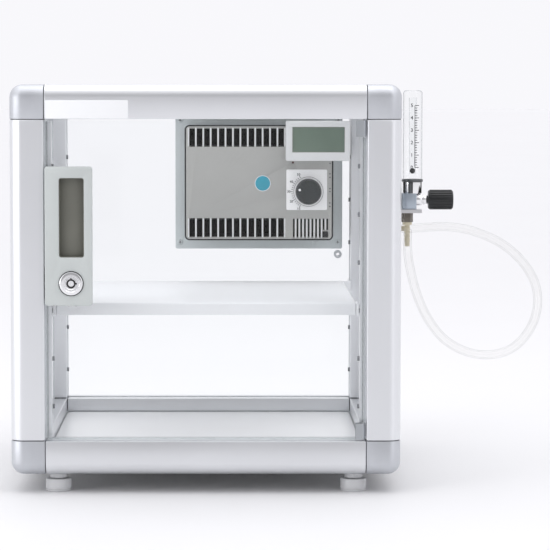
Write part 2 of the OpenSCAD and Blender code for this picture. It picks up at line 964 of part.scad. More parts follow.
module display_housing() {
    front = cover_y - display_t;
    color("lightgray") difference() {
        plate_y(display_lo, display_hi, front, cover_y, 1.5);
        plate_y(window_lo, window_hi, front - 1, front + 2.5, 0.8);
    }
}

module display_window() {
    front = cover_y - display_t;
    color("darkseagreen") plate_y(window_lo, window_hi, front + 1, front + 2.5, 0.8);
}

// Soft grommet with a hole for a probe lead
module port_grommet() {
    color("lightgray") difference() {
        union() {
            rod_y(port_x, port_z, panel_in - 1.8, panel_in, 4.8);
            rod_y(port_x, port_z, panel_in, panel_out, 3.5);
            rod_y(port_x, port_z, panel_out, panel_out + 1.8, 4.8);
        }
        rod_y(port_x, port_z, panel_in - 3, panel_out + 3, 2);
    }
}

// ---- Flow meter ----

bracket_t = 2.5;

module bracket_screws(r) {
    for (y = [meter_y - 9, meter_y + 9])
        rod_x(side_out + bracket_t - 6, side_out + bracket_t + 0.1, y, 325, r);
}

module flowmeter_bracket() {
    color("silver") difference() {
        union() {
            box([side_out, meter_y - 15, plate_z], [side_out + bracket_t, meter_y + 15, 338]);
            box([side_out, meter_y - 12, plate_z], [235.6, meter_y + 12, plate_z + plate_t]);
        }
        bracket_screws(shank_r);
        translate([outlet_x, meter_y, plate_z - 1]) cylinder(h = plate_t + 2, r = stem_r + run_gap);
    }
}

module flowmeter_body() {
    color("silver") difference() {
        union() {
            box([215.8, meter_y - 10, plate_z + plate_t], [230, meter_y + 10, head_z]);
            translate([meter_x, meter_y, head_z]) cylinder(h = tube_z - head_z, r = 10);
            translate([meter_x, meter_y, tube_z - 3.3]) cylinder(h = 3.3, r = 11.5);
            rod_x(229, 236.5, meter_y, meter_z, 6.5);
            rod_x(236, 243, meter_y, meter_z, 4.6);
        }
        rod_x(228, 244, meter_y, meter_z, 2 + run_gap);
        translate([outlet_x, meter_y, plate_z + plate_t - 1]) cylinder(h = 7, r = stem_r + run_gap);
        rod_y(supply_x, meter_z, meter_y + 4, meter_y + 11, stem_r + run_gap);
    }
}

// Clear tube with a slightly widening bore for the float
module flow_tube() {
    bore_z = tube_z + 6;
    round_r = 3;
    color("azure", 0.4) translate([meter_x, meter_y, 0]) difference() {
        union() {
            translate([0, 0, tube_z]) cylinder(h = tube_h - round_r, r = tube_d / 2);
            translate([0, 0, tube_z + tube_h - round_r]) {
                cylinder(h = round_r, r = tube_d / 2 - round_r);
                rotate_extrude() translate([tube_d / 2 - round_r, 0]) circle(r = round_r);
            }
        }
        translate([0, 0, bore_z]) cylinder(h = tube_h - 14, r1 = 3.3, r2 = 4.2);
    }
}

module flow_float() {
    color("black") translate([meter_x, meter_y, tube_z + 6.1 + float_r]) sphere(r = float_r);
}

module valve_knob() {
    ribs = 24;
    color("black") difference() {
        union() {
            rod_x(243.4, 270.4, meter_y, meter_z, 10.3);
            for (i = [0 : ribs - 1]) translate([0, meter_y, meter_z]) rotate([i * 360 / ribs, 0, 0])
                box([245, 9.6, -0.7], [269.4, 10.9, 0.7]);
            rod_x(229, 244, meter_y, meter_z, 2);
        }
        rod_x(269.4, 271, meter_y, meter_z, 8);
    }
}

// A screwed hose fitting on the plane z = 0: stem below, then a hexagon; a barbed one has a nose too
module screwed_base(hex_h, stem) {
    translate([0, 0, -stem]) cylinder(h = stem + 1, r = stem_r);
    cylinder(h = hex_h, r = 6.3, $fn = 6);
}

module barbed_fitting(hex_h, stem, land) {
    nose = hex_h + land;
    screwed_base(hex_h, stem);
    translate([0, 0, hex_h - eps]) cylinder(h = land + 20, r = 2.8);
    for (i = [0 : 3]) translate([0, 0, nose + 3 + i * 4]) cylinder(h = 3, r1 = 3.5, r2 = 2.8);
}

// A screwed base with a plain spigot for the supply hose
module spigot_fitting() {
    screwed_base(6, 5.5);
    translate([0, 0, 5]) cylinder(h = 13, r = supply_r);
    translate([0, 0, 18]) cylinder(h = 1, r1 = supply_r, r2 = supply_r - 0.6);
}

module hose_fittings() {
    color("tan") {
        translate([outlet_x, meter_y, plate_z]) mirror([0, 0, 1]) barbed_fitting(10.4, plate_t + 5, 7);
        translate([side_out, port_y, port_side_z]) rotate([0, 90, 0]) barbed_fitting(6, panel_t + 4, 4);
        translate([side_out - panel_t - 4, port_y, port_side_z]) rotate([0, 90, 0])
            cylinder(h = 4, r = 6.3, $fn = 6);
        translate([supply_x, meter_y + 10, meter_z]) rotate([-90, 0, 0]) spigot_fitting();
    }
}

// The hose: rings of points round the route, joined into one closed tube
sides = 12;

function along(i) = route[min(i + 1, len(route) - 1)] - route[max(i - 1, 0)];
function unit(v) = v / norm(v);
function ring(i) =
    let (t = unit(along(i)), n = unit(cross(t, [0, 1, 0])), b = cross(t, n))
    [for (k = [0 : sides - 1])
        route[i] + hose_d / 2 * (cos(k * 360 / sides) * n + sin(k * 360 / sides) * b)];

module gas_hose() {
    rings = len(route);
    last = (rings - 1) * sides;
    points = [for (i = [0 : rings - 1]) each ring(i)];
    walls = [for (i = [0 : rings - 2], k = [0 : sides - 1])
        let (a = i * sides + k, b = i * sides + (k + 1) % sides) [a, a + sides, b + sides, b]];
    start = [for (k = [0 : sides - 1]) k];
    end = [for (k = [sides - 1 : -1 : 0]) last + k];
    color("white", 0.5) polyhedron(points, concat([start, end], walls));
}

// ---- Screws ----

module screws() {
    head_r = 3.2;
    head_t = 1.8;
    color("silver") {
        flange_screws(shank_r);
        for (x = flange_screw_x, z = flange_screw_z) rod_y(x, z, flange_y - head_t, flange_y, head_r);
        bracket_screws(shank_r);
        for (y = [meter_y - 9, meter_y + 9])
            rod_x(side_out + bracket_t, side_out + bracket_t + head_t, y, 325, head_r);
    }
}

corner_blocks();
post_front_left();
post_front_right();
post_rear_left();
post_rear_right();
rail_front_top();
rail_front_bottom();
rail_rear_top();
rail_rear_bottom();
side_rails_top();
side_rails_bottom();
panel_top();
panel_left();
panel_right();
panel_rear();
floor_panel();
panel_seals();
foot_front_left();
foot_front_right();
foot_rear_left();
foot_rear_right();
foot_collars();
door_panel();
door_seal();
door_hinge_blocks();
hinge_pins();
handle_block();
lock_barrel();
lock_core();
lock_cam();
strike_plate();
shelf();
shelf_hooks();
shelf_standards();
shelf_pegs();
unit_flange();
unit_inner_cover();
unit_outer_cover();
fan_frames();
circulation_fan();
exhaust_fan();
cold_sink();
hot_sink();
thermoelectric_module();
control_board();
dial_plate();
dial_knob();
power_switch();
power_inlet();
display_housing();
display_window();
port_grommet();
flowmeter_bracket();
flowmeter_body();
flow_tube();
flow_float();
valve_knob();
hose_fittings();
gas_hose();
screws();
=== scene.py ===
"""Looks of the bench-top clear cabinet incubator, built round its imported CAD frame.

Everything is in metres in the row frame: +X right seen from the front, the front faces -Y, +Z up.
"""

from math import cos, pi, radians, sin, sqrt

import bmesh
import bpy
from mathutils import Matrix, Vector


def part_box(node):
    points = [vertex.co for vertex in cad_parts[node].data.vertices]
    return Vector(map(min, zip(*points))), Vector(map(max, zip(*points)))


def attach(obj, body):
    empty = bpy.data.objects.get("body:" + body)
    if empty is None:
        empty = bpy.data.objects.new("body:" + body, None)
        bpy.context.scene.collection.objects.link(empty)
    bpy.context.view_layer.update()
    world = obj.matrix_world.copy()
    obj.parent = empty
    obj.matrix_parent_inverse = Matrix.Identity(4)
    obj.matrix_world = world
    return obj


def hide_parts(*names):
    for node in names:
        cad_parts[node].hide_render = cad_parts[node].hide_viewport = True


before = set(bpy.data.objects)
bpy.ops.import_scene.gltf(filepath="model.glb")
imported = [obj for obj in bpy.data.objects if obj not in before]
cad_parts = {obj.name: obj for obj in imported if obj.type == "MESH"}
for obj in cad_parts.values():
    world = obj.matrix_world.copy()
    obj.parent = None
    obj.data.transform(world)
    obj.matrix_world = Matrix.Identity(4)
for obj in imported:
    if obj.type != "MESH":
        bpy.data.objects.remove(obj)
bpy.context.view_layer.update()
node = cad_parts
MM = 0.001


def new_object(name, data):
    made = bpy.data.objects.new(name, data)
    bpy.context.scene.collection.objects.link(made)
    return made


# ---- Camera ----

CAMERA_PLACE = (0.0239, -2.9557, 0.4375)
CAMERA_DIP = 4.188
LENS = 168.45
SENSOR = 36
SHIFT_X = 47 / 550


def add_camera():
    """The photograph's view: level with the cabinet's top, tilted a little down."""
    data = bpy.data.cameras.new("camera")
    data.sensor_width = SENSOR
    data.lens = LENS
    data.shift_x = SHIFT_X
    data.clip_end = 50
    camera = new_object("camera", data)
    camera.location = CAMERA_PLACE
    camera.rotation_euler = (radians(90 - CAMERA_DIP), 0, 0)
    bpy.context.scene.camera = camera


add_camera()


# ---- Mesh helpers ----

def mesh_of(name, verts, faces):
    mesh = bpy.data.meshes.new(name)
    mesh.from_pydata([tuple(v) for v in verts], [], faces)
    return mesh


def add_mesh(name, mesh, materials, body=None, smooth=None):
    """A piece that rides on a body. smooth is the angle in degrees below which edges look round."""
    for material in materials:
        mesh.materials.append(material)
    mesh.update()
    piece = new_object(name, mesh)
    if smooth:
        shade_smooth(piece, smooth)
    if body:
        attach(piece, body)
    return piece


def shade_smooth(piece, angle):
    for poly in piece.data.polygons:
        poly.use_smooth = True
    with bpy.context.temp_override(object=piece, active_object=piece, selected_objects=[piece],
                                   selected_editable_objects=[piece]):
        bpy.ops.object.shade_smooth_by_angle(angle=radians(angle))


def curve_through(points, steps):
    """Points of a Catmull-Rom curve through the given points, with that many steps between each two."""
    points = [Vector(p) for p in points]
    padded = [2 * points[0] - points[1]] + points + [2 * points[-1] - points[-2]]
    out = []
    for a, b, c, d in zip(padded, padded[1:], padded[2:], padded[3:]):
        for i in range(steps):
            t = i / steps
            out.append(0.5 * (2 * b + (c - a) * t + (2 * a - 5 * b + 4 * c - d) * t * t
                              + (3 * b - a - 3 * c + d) * t * t * t))
    return out + [points[-1]]


def turns(count):
    return [2 * pi * k / count for k in range(count)]


def rings_along(path, radius, sides):
    """Rings of points round a path, carried along it without twist."""
    rings = []
    side = None
    for i, p in enumerate(path):
        ahead = (path[min(i + 1, len(path) - 1)] - path[max(i - 1, 0)]).normalized()
        if side is None:
            side = ahead.orthogonal()
        side = (side - side.dot(ahead) * ahead).normalized()
        up = ahead.cross(side)
        rings.append([p + radius * (cos(a) * side + sin(a) * up) for a in turns(sides)])
    return rings


def hollow_tube(path, outer, inner, sides):
    """Vertices and faces of a tube with a wall and open ends."""
    verts, faces = [], []
    for radius in (outer, inner):
        for ring in rings_along(path, radius, sides):
            verts += ring
    count = len(path)
    half = count * sides

    for layer, order in ((0, 1), (half, -1)):
        for i in range(count - 1):
            for k in range(sides):
                n = (k + 1) % sides
                a, b = layer + i * sides, layer + (i + 1) * sides
                faces.append((a + k, a + n, b + n, b + k)[::order])
    last = (count - 1) * sides
    for k in range(sides):
        n = (k + 1) % sides
        faces.append((k, half + k, half + n, n))
        faces.append((last + k, last + n, half + last + n, half + last + k))
    return verts, faces


# ---- Shapes, made in millimetres ----

FRONT = Matrix(((1, 0, 0, 0), (0, 0, -1, 0), (0, 1, 0, 0), (0, 0, 0, 1)))
SIDE = Matrix(((0, 0, 1, 0), (1, 0, 0, 0), (0, 1, 0, 0), (0, 0, 0, 1)))
BACK = Matrix(((-1, 0, 0, 0), (0, 0, 1, 0), (0, 1, 0, 0), (0, 0, 0, 1)))
UPRIGHT = Matrix.Identity(4)


def corners(name):
    """Lowest and highest corner of a CAD node, in millimetres."""
    low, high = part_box(name)
    return Vector(low) / MM, Vector(high) / MM


def middle(name):
    low, high = corners(name)
    return (low + high) / 2


def at(x, y, z, turn=UPRIGHT):
    return Matrix.Translation((x, y, z)) @ turn


class Shape:
    """Parts gathered into one mesh. paint is the number of the part's material in the piece's list."""

    def __init__(self):
        self.whole = bmesh.new()

    def add(self, part, place=UPRIGHT, paint=0):
        for face in part.faces:
            face.material_index = paint
        bmesh.ops.transform(part, matrix=place, verts=part.verts)
        bmesh.ops.recalc_face_normals(part, faces=part.faces)
        mesh = bpy.data.meshes.new("part")
        part.to_mesh(mesh)
        part.free()
        self.whole.from_mesh(mesh)
        bpy.data.meshes.remove(mesh)

    def front(self, outlines, low, high, bevel, paint=0):
        """A plate that faces the front."""
        self.add(plate(outlines, low, high, bevel), FRONT, paint)

    def piece(self, name, materials, replaced=(), slot=None, smooth=35, body="cabinet"):
        bmesh.ops.scale(self.whole, vec=(MM, MM, MM), verts=self.whole.verts)
        mesh = bpy.data.meshes.new(name)
        self.whole.to_mesh(mesh)
        self.whole.free()
        made = add_mesh(name, mesh, materials, body, smooth)
        if replaced:
            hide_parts(*replaced)
        return made


def ease_edges(part, edges, width, segments):
    bmesh.ops.bevel(part, geom=edges, offset=width, segments=segments, profile=0.5, affect="EDGES")


def block(low, high, bevel=0.4, segments=2):
    """A box with eased edges."""
    part = bmesh.new()
    bmesh.ops.create_cube(part, size=1)
    size = Vector(high) - Vector(low)
    bmesh.ops.scale(part, vec=size, verts=part.verts)
    bmesh.ops.translate(part, vec=(Vector(high) + Vector(low)) / 2, verts=part.verts)
    if bevel:
        ease_edges(part, part.edges[:], bevel, segments)
    return part


def lathe(profile, sides=48):
    """A ring turned round Z from a closed outline of (radius, height) points; radius 0 makes a pole."""
    part = bmesh.new()
    rings = []
    for radius, height in profile:
        if radius == 0:
            rings.append([part.verts.new((0, 0, height))])
        else:
            rings.append([part.verts.new((radius * cos(a), radius * sin(a), height))
                          for a in turns(sides)])
    for first, second in zip(rings, rings[1:] + rings[:1]):
        for k in range(sides):
            loop = [first[k % len(first)], first[(k + 1) % len(first)],
                    second[(k + 1) % len(second)], second[k % len(second)]]
            loop = [v for i, v in enumerate(loop) if v is not loop[i - 1]]
            if len(loop) > 2:
                part.faces.new(loop)
    return part


def disc_profile(radius, low, high, ease=0.5, inner=0):
    """Outline of a washer or a solid disc whose outer edges are eased."""
    return [(inner, low), (radius - ease, low), (radius - 0.3 * ease, low + 0.3 * ease), (radius, low + ease),
            (radius, high - ease), (radius - 0.3 * ease, high - 0.3 * ease), (radius - ease, high),
            (inner, high)]


def part_of(curve, shift):
    """The mesh of a curve, moved by shift. The curve itself goes."""
    holder = bpy.data.objects.new(curve.name, curve)
    part = bmesh.new()
    part.from_mesh(holder.to_mesh())
    holder.to_mesh_clear()
    bpy.data.objects.remove(holder)
    bpy.data.curves.remove(curve)
    bmesh.ops.translate(part, vec=shift, verts=part.verts)
    return part


def plate(outlines, low, high, bevel=0.4):
    """A plate between two heights, with eased edges. The first outline is its edge, the others are holes."""
    curve = bpy.data.curves.new("outline", "CURVE")
    curve.dimensions = "2D"
    curve.fill_mode = "BOTH"
    curve.extrude = (high - low) / 2 - bevel
    curve.bevel_depth = bevel
    curve.bevel_resolution = 1
    curve.offset = -bevel
    for points in outlines:
        spline = curve.splines.new("POLY")
        spline.points.add(len(points) - 1)
        for point, (u, v) in zip(spline.points, points):
            point.co = (u, v, 0, 1)
        spline.use_cyclic_u = True
    part = part_of(curve, (0, 0, (low + high) / 2))
    bmesh.ops.remove_doubles(part, verts=part.verts, dist=0.0005)
    return part


def arc(u, v, radius, start, end, steps):
    """Points on an arc, from one angle to another in degrees."""
    angles = [radians(start + (end - start) * i / steps) for i in range(steps + 1)]
    return [(u + radius * cos(a), v + radius * sin(a)) for a in angles]


def circle(u, v, radius, steps=40):
    return arc(u, v, radius, 0, 360, steps)[:-1]


def rounded(low, high, radius, steps=6):
    """Outline of a rectangle with round corners."""
    r = radius
    centres = ((high[0] - r, high[1] - r), (low[0] + r, high[1] - r), (low[0] + r, low[1] + r),
               (high[0] - r, low[1] + r))
    outline = []
    for i, (u, v) in enumerate(centres):
        outline += arc(u, v, r, 90 * i, 90 * i + 90, steps)
    return outline


def facing(low, high, radius, grow=0, steps=6):
    """Outline with round corners of a CAD box seen from the front, made larger or smaller all round."""
    return rounded((low.x - grow, low.z - grow), (high.x + grow, high.z + grow), radius, steps)


def ring_plate(low, high, radius, wall, bottom, top, bevel=0.2):
    """A rectangular wall with round corners, seen from above: the sides of a box without its lid."""
    inner_low = (low[0] + wall, low[1] + wall)
    inner_high = (high[0] - wall, high[1] - wall)
    inner = rounded(inner_low, inner_high, max(0.5, radius - wall))
    return plate([rounded(low, high, radius), inner], bottom, top, bevel)


def closed_strip(part, loops):
    """Faces from each loop of points to the next, and one over each end."""
    count = len(loops[0])
    for first, second in zip(loops, loops[1:]):
        for k in range(count):
            part.faces.new((first[k], first[(k + 1) % count], second[(k + 1) % count], second[k]))
    part.faces.new(loops[0])
    part.faces.new(loops[-1])
    return part


def prism(section, place, start, end, ease=0.6):
    """A bar of one section. place(a, b, t) gives the point at (a, b) of the section, t along the bar."""
    part = bmesh.new()
    count = len(section)
    mean_a = sum(a for a, b in section) / count
    mean_b = sum(b for a, b in section) / count
    shrink = 1 - ease / 18
    loops = []
    for t, scale in ((start, shrink), (start + ease, 1), (end - ease, 1), (end, shrink)):
        loops.append([part.verts.new(place(mean_a + (a - mean_a) * scale, mean_b + (b - mean_b) * scale, t))
                      for a, b in section])
    return closed_strip(part, loops)


def rod(path, radius, sides=12):
    """A solid round rod along a list of points."""
    part = bmesh.new()
    rings = rings_along([Vector(p) for p in path], radius, sides)
    return closed_strip(part, [[part.verts.new(v) for v in ring] for ring in rings])


# ---- Materials ----

def new_material(name):
    material = bpy.data.materials.new(name)
    material.use_nodes = True
    tree = material.node_tree
    return material, tree, tree.nodes["Principled BSDF"]


def add_node(tree, kind, **values):
    """A node of that kind, with its inputs set by name; an underscore stands for a space."""
    made = tree.nodes.new("ShaderNode" + kind)
    for key, value in values.items():
        made.inputs[key.replace("_", " ")].default_value = value
    return made


def noise(tree, scale, detail, stretch=(1, 1, 1)):
    """Noise in the row frame's metres; a small stretch along an axis makes lines along it."""
    place = add_node(tree, "TexCoord")
    mapping = add_node(tree, "Mapping", Scale=stretch)
    tree.links.new(place.outputs["Object"], mapping.inputs["Vector"])
    texture = add_node(tree, "TexNoise", Scale=scale, Detail=detail)
    tree.links.new(mapping.outputs["Vector"], texture.inputs["Vector"])
    return texture.outputs["Fac"]


def to_range(tree, value, low, high, from_low=0.3, from_high=0.7):
    made = add_node(tree, "MapRange", From_Min=from_low, From_Max=from_high, To_Min=low, To_Max=high)
    tree.links.new(value, made.inputs["Value"])
    return made.outputs["Result"]


def math_node(tree, operation, first, second=None):
    made = add_node(tree, "Math")
    made.operation = operation
    for socket, value in ((0, first), (1, second)):
        if isinstance(value, (int, float)):
            made.inputs[socket].default_value = value
        elif value is not None:
            tree.links.new(value, made.inputs[socket])
    return made.outputs[0]


def blend_colours(tree, factor, first, second):
    """A mix of two colours; inputs 6 and 7 are the node's colour sockets, and output 2 its colour."""
    made = add_node(tree, "Mix")
    made.data_type = "RGBA"
    made.inputs[6].default_value = (*first, 1)
    made.inputs[7].default_value = (*second, 1)
    tree.links.new(factor, made.inputs[0])
    return made.outputs[2]


def surface(name, colour, rough, metallic, mottle, mottle_scale, grain, grain_scale, grain_depth=0.0001,
            stretch=(1, 1, 1), spread=0.05, specular=0.5):
    """A worn, slightly uneven surface: cloudy colour, fine bump and patches of other roughness."""
    material, tree, shader = new_material(name)
    light = tuple(min(1, c * (1 + mottle)) for c in colour)
    dark = tuple(c * (1 - mottle) for c in colour)
    clouds = to_range(tree, noise(tree, mottle_scale, 4), 0, 1)
    tree.links.new(blend_colours(tree, clouds, dark, light), shader.inputs["Base Color"])
    patches = to_range(tree, noise(tree, mottle_scale * 0.6, 5), rough - spread, rough + spread)
    tree.links.new(patches, shader.inputs["Roughness"])
    bump = add_node(tree, "Bump", Strength=grain, Distance=grain_depth)
    tree.links.new(noise(tree, grain_scale, 2, stretch), bump.inputs["Height"])
    tree.links.new(bump.outputs["Normal"], shader.inputs["Normal"])
    shader.inputs["Metallic"].default_value = metallic
    shader.inputs["Specular IOR Level"].default_value = specular
    return material


EDGE_MIRROR = 0.8
MIRROR_POWER = 5
HAZE_POWER = 4
HAZE_STRAIGHT = 0.04
HAZE_EDGE = 3


def mix_shaders(tree, factor, first, second):
    made = add_node(tree, "MixShader")
    tree.links.new(factor, made.inputs["Fac"])
    tree.links.new(first.outputs[0], made.inputs[1])
    tree.links.new(second.outputs[0], made.inputs[2])
    return made


def clear(name, tint, gloss, ior, haze=0.0, haze_colour=None):
    """Clear plastic: what is behind shows, with a reflection that grows at the edges, and a little haze."""
    material, tree, shader = new_material(name)
    tree.nodes.remove(shader)
    through = add_node(tree, "BsdfTransparent", Color=(*tint, 1))
    shine = add_node(tree, "BsdfGlossy", Color=(1, 1, 1, 1))
    tree.links.new(to_range(tree, noise(tree, 14, 5), gloss * 0.4, gloss * 1.6), shine.inputs["Roughness"])
    facing_away = add_node(tree, "LayerWeight", Blend=0.5).outputs["Facing"]
    straight = ((ior - 1) / (ior + 1)) ** 2
    edge = math_node(tree, "POWER", facing_away, MIRROR_POWER)
    result = mix_shaders(tree, to_range(tree, edge, straight, EDGE_MIRROR, 0, 1), through, shine)
    if haze:
        milk = add_node(tree, "BsdfDiffuse", Color=(*haze_colour, 1))
        slope = math_node(tree, "POWER", facing_away, HAZE_POWER)
        amount = to_range(tree, slope, haze * HAZE_STRAIGHT, min(1, haze * HAZE_EDGE), 0, 1)
        result = mix_shaders(tree, amount, result, milk)
    tree.links.new(result.outputs[0], tree.nodes["Material Output"].inputs["Surface"])
    return material


BAR = (0.76, 0.77, 0.79)
bar_x, bar_y, bar_z = (
    surface("bar_lines_" + axis, BAR, 0.30, 0.85, 0.02, 8, 0.10, 900, 0.00006, stretch, 0.03)
    for axis, stretch in (("x", (0.005, 1, 1)), ("y", (1, 0.005, 1)), ("z", (1, 1, 0.005))))
corner_metal = surface("cast_corner", (0.57, 0.585, 0.615), 0.42, 0.8, 0.04, 30, 0.35, 1800)
acrylic = clear("acrylic", (0.994, 0.997, 0.997), 0.01, 1.25)
tube_acrylic = clear("tube_acrylic", (0.992, 0.995, 0.995), 0.03, 1.3, 0.26, (0.24, 0.26, 0.29))
hose_plastic = clear("hose_plastic", (0.997, 0.997, 0.995), 0.06, 1.3, 0.2, (0.22, 0.22, 0.21))
white_paint = surface("white_paint", (0.92, 0.925, 0.93), 0.26, 0.0, 0.015, 6, 0.1, 500, spread=0.03)
seal_rubber = surface("seal_rubber", (0.62, 0.64, 0.66), 0.55, 0, 0.04, 40, 0.3, 2500)
steel = surface("steel", (0.62, 0.62, 0.63), 0.28, 1.0, 0.04, 60, 0.2, 1500, stretch=(1, 1, 0.1))
plating = surface("plating", (0.82, 0.82, 0.83), 0.10, 1.0, 0.02, 40, 0.05, 800)
handle_plastic = surface("handle_plastic", (0.53, 0.56, 0.55), 0.45, 0, 0.02, 30, 0.35, 2200)
# Much darker than the handle plastic: painted shade for the inside of the finger pocket.
pocket_painted_shade = surface("pocket_painted_shade", (0.16, 0.16, 0.135), 0.5, 0, 0.06, 30, 0.3, 2000)
display_plastic = surface("display_plastic", (0.68, 0.69, 0.695), 0.4, 0, 0.02, 30, 0.3, 2200)
foot_plastic = surface("foot_plastic", (0.60, 0.605, 0.615), 0.4, 0, 0.03, 60, 0.3, 2500)
black_plastic = surface("black_plastic", (0.013, 0.013, 0.013), 0.42, 0, 0.15, 60, 0.4, 2200)
grey_plastic = surface("grey_plastic", (0.22, 0.23, 0.24), 0.45, 0, 0.05, 60, 0.3, 2200)
knob_plastic = surface("knob_plastic", (0.034, 0.038, 0.039), 0.38, 0, 0.08, 60, 0.3, 2200)
white_plastic = surface("white_plastic", (0.89, 0.89, 0.89), 0.4, 0, 0.015, 40, 0.2, 2200)
cover_paint = surface("cover_paint", (0.40, 0.40, 0.385), 0.5, 0, 0.03, 20, 0.35, 1600)
flange_paint = surface("flange_paint", (0.56, 0.60, 0.61), 0.5, 0, 0.03, 20, 0.35, 1600)
sink_metal = surface("sink_metal", (0.75, 0.76, 0.77), 0.35, 1.0, 0.03, 30, 0.3, 900, stretch=(1, 1, 0.02))
dark_metal = surface("dark_metal", (0.12, 0.125, 0.13), 0.4, 0.6, 0.05, 50, 0.3, 2000)
ceramic = surface("ceramic", (0.82, 0.82, 0.79), 0.5, 0, 0.02, 60, 0.2, 2000)
black_anodised = surface("black_anodised", (0.022, 0.022, 0.024), 0.45, 0.3, 0.1, 60, 0.3, 1500)
board_green = surface("board_green", (0.008, 0.03, 0.018), 0.35, 0, 0.2, 120, 0.3, 900)
lcd = surface("lcd", (0.135, 0.185, 0.145), 0.25, 0, 0.03, 12, 0.1, 1500)
fitting_nylon = surface("fitting_nylon", (0.62, 0.56, 0.42), 0.42, 0, 0.05, 60, 0.2, 2000)
label_paper = surface("label_paper", (0.88, 0.89, 0.90), 0.35, 0, 0.008, 20, 0.08, 900)
shelf_paint = surface("shelf_paint", (0.82, 0.83, 0.845), 0.42, 0, 0.015, 6, 0.1, 500, spread=0.03)
dark_rubber = surface("dark_rubber", (0.012, 0.013, 0.015), 0.5, 0, 0.15, 60, 0.3, 2000)
lamp_red = surface("lamp_red", (0.10, 0.03, 0.03), 0.25, 0, 0.05, 80, 0.05, 900)
teal_ink = surface("teal_ink", (0.045, 0.33, 0.44), 0.4, 0, 0.04, 40, 0.1, 900)
lcd_rim = surface("lcd_rim", (0.19, 0.21, 0.18), 0.4, 0, 0.04, 40, 0.1, 900)
ink = surface("ink", (0.05, 0.05, 0.055), 0.5, 0, 0.1, 200, 0.05, 900)
head_metal = surface("head_metal", (0.42, 0.47, 0.53), 0.3, 0.8, 0.04, 60, 0.2, 1500, stretch=(1, 1, 0.1))
valve_plastic = surface("valve_plastic", (0.012, 0.013, 0.014), 0.3, 0, 0.15, 60, 0.2, 2200)
block_metal = surface("block_metal", (0.42, 0.44, 0.46), 0.4, 0.8, 0.05, 50, 0.3, 2000)
door_seal_plastic = clear("door_seal_plastic", (0.90, 0.91, 0.91), 0.2, 1.2, 0.6, (0.86, 0.88, 0.90))
# Near-black for the sheets inside the thermal unit: painted shade that darkens its inside.
painted_shade_black = surface("painted_shade_black", (0.014, 0.013, 0.011), 0.85, 0, 0.2, 90, 0.6, 900, specular=0.2)
hex_brown = surface("hex_brown", (0.15, 0.135, 0.115), 0.35, 0.4, 0.08, 90, 0.2, 1500)
bore_air = clear("bore_air", (0.985, 0.99, 0.99), 0.03, 1.2, 0.3, (0.30, 0.32, 0.35))


# Only the CAD nodes that stay in sight; every other one is replaced by a piece below.
for material, names in (
        (acrylic, "panel_top panel_left panel_right panel_rear door_panel"),
        (white_paint, "floor_panel"), (seal_rubber, "panel_seals"), (door_seal_plastic, "door_seal"),
        (block_metal, "door_hinge_blocks"), (steel, "hinge_pins lock_cam strike_plate flowmeter_bracket"),
        (shelf_paint, "shelf_hooks"), (bar_z, "shelf_standards"), (grey_plastic, "shelf_pegs"),
        (black_plastic, "fan_frames circulation_fan exhaust_fan power_switch"),
        (black_anodised, "cold_sink"), (sink_metal, "hot_sink"), (ceramic, "thermoelectric_module"),
        (board_green, "control_board")):
    for name in names.split():
        node[name].data.materials.clear()
        node[name].data.materials.append(material)
        shade_smooth(node[name], 30)


# ---- Hose ----

HOSE_OUTER = 4.75 * MM
HOSE_INNER = 3.175 * MM
HOSE_ROUTE = [
    (220.5, -135, 281), (221, -135, 262), (223, -134, 244), (229, -133, 218), (238, -132, 194),
    (249, -131, 175), (262, -130, 160), (277, -129, 150), (293, -128, 144), (309, -127, 142),
    (325, -126, 144), (339, -125, 150), (351, -124, 161), (360, -123, 175), (365, -122, 190),
    (366, -121, 206), (363, -120, 221), (356, -119, 235), (346, -118, 248), (334, -117, 259),
    (320, -116, 268), (304, -115, 275), (288, -114, 280), (272, -113, 282.5), (256, -112, 283),
    (240, -112, 282), (224, -112, 281), (205, -112, 281)]


def add_hose():
    """Clear hose from the flow meter's outlet round to the port in the side panel."""
    path = curve_through([Vector(p) * MM for p in HOSE_ROUTE], 4)
    tube = mesh_of("clear_hose", *hollow_tube(path, HOSE_OUTER, HOSE_INNER, 24))
    hose = add_mesh("clear_hose", tube, [hose_plastic], "cabinet", 60)
    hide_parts("gas_hose")


add_hose()


# ---- Frame ----

OUT_LOW, OUT_HIGH = corners("corner_blocks")
BAR_WIDTH = OUT_HIGH.x - corners("post_front_right")[0].x
EDGE_RADIUS = 14
GROOVE_WIDTH = 6.6
GROOVE_DEPTH = 6
JOINT_GAP = 0.8
IN_LOW = OUT_LOW + Vector((BAR_WIDTH,) * 3)
IN_HIGH = OUT_HIGH - Vector((BAR_WIDTH,) * 3)
CORE_SIZE = 0.95


def bar_section(groove_a, groove_b):
    """Section of a bar, measured from its outer corner. A panel's groove may open on either inner face."""
    w, ease = BAR_WIDTH, 0.8
    near, far = (w - GROOVE_WIDTH) / 2, (w + GROOVE_WIDTH) / 2
    deep = w - GROOVE_DEPTH
    points = arc(EDGE_RADIUS, EDGE_RADIUS, EDGE_RADIUS, 180, 270, 16) + arc(w - ease, ease, ease, 270, 360, 3)
    if groove_a:
        points += [(w, near), (deep, near), (deep, far), (w, far)]
    points += arc(w - ease, w - ease, ease, 0, 90, 3)
    if groove_b:
        points += [(far, w), (far, deep), (near, deep), (near, w)]
    return points + arc(ease, w - ease, ease, 90, 180, 3)


def joined_bar(shape, groove_a, groove_b, place, start, end):
    """A bar that stops a little short of the corner blocks, round a dark core that fills the joints."""
    section = bar_section(groove_a, groove_b)
    shape.add(prism(section, place, start + JOINT_GAP, end - JOINT_GAP), UPRIGHT, 0)
    centre = BAR_WIDTH / 2
    core = [(centre + (a - centre) * CORE_SIZE, centre + (b - centre) * CORE_SIZE) for a, b in section]
    shape.add(prism(core, place, start, end, 0.1), UPRIGHT, 1)


def add_bar(name, groove_a, groove_b, place, start, end, material):
    shape = Shape()
    joined_bar(shape, groove_a, groove_b, place, start, end)
    shape.piece(name + "_bar", [material, dark_rubber], [name], "bar_alu")


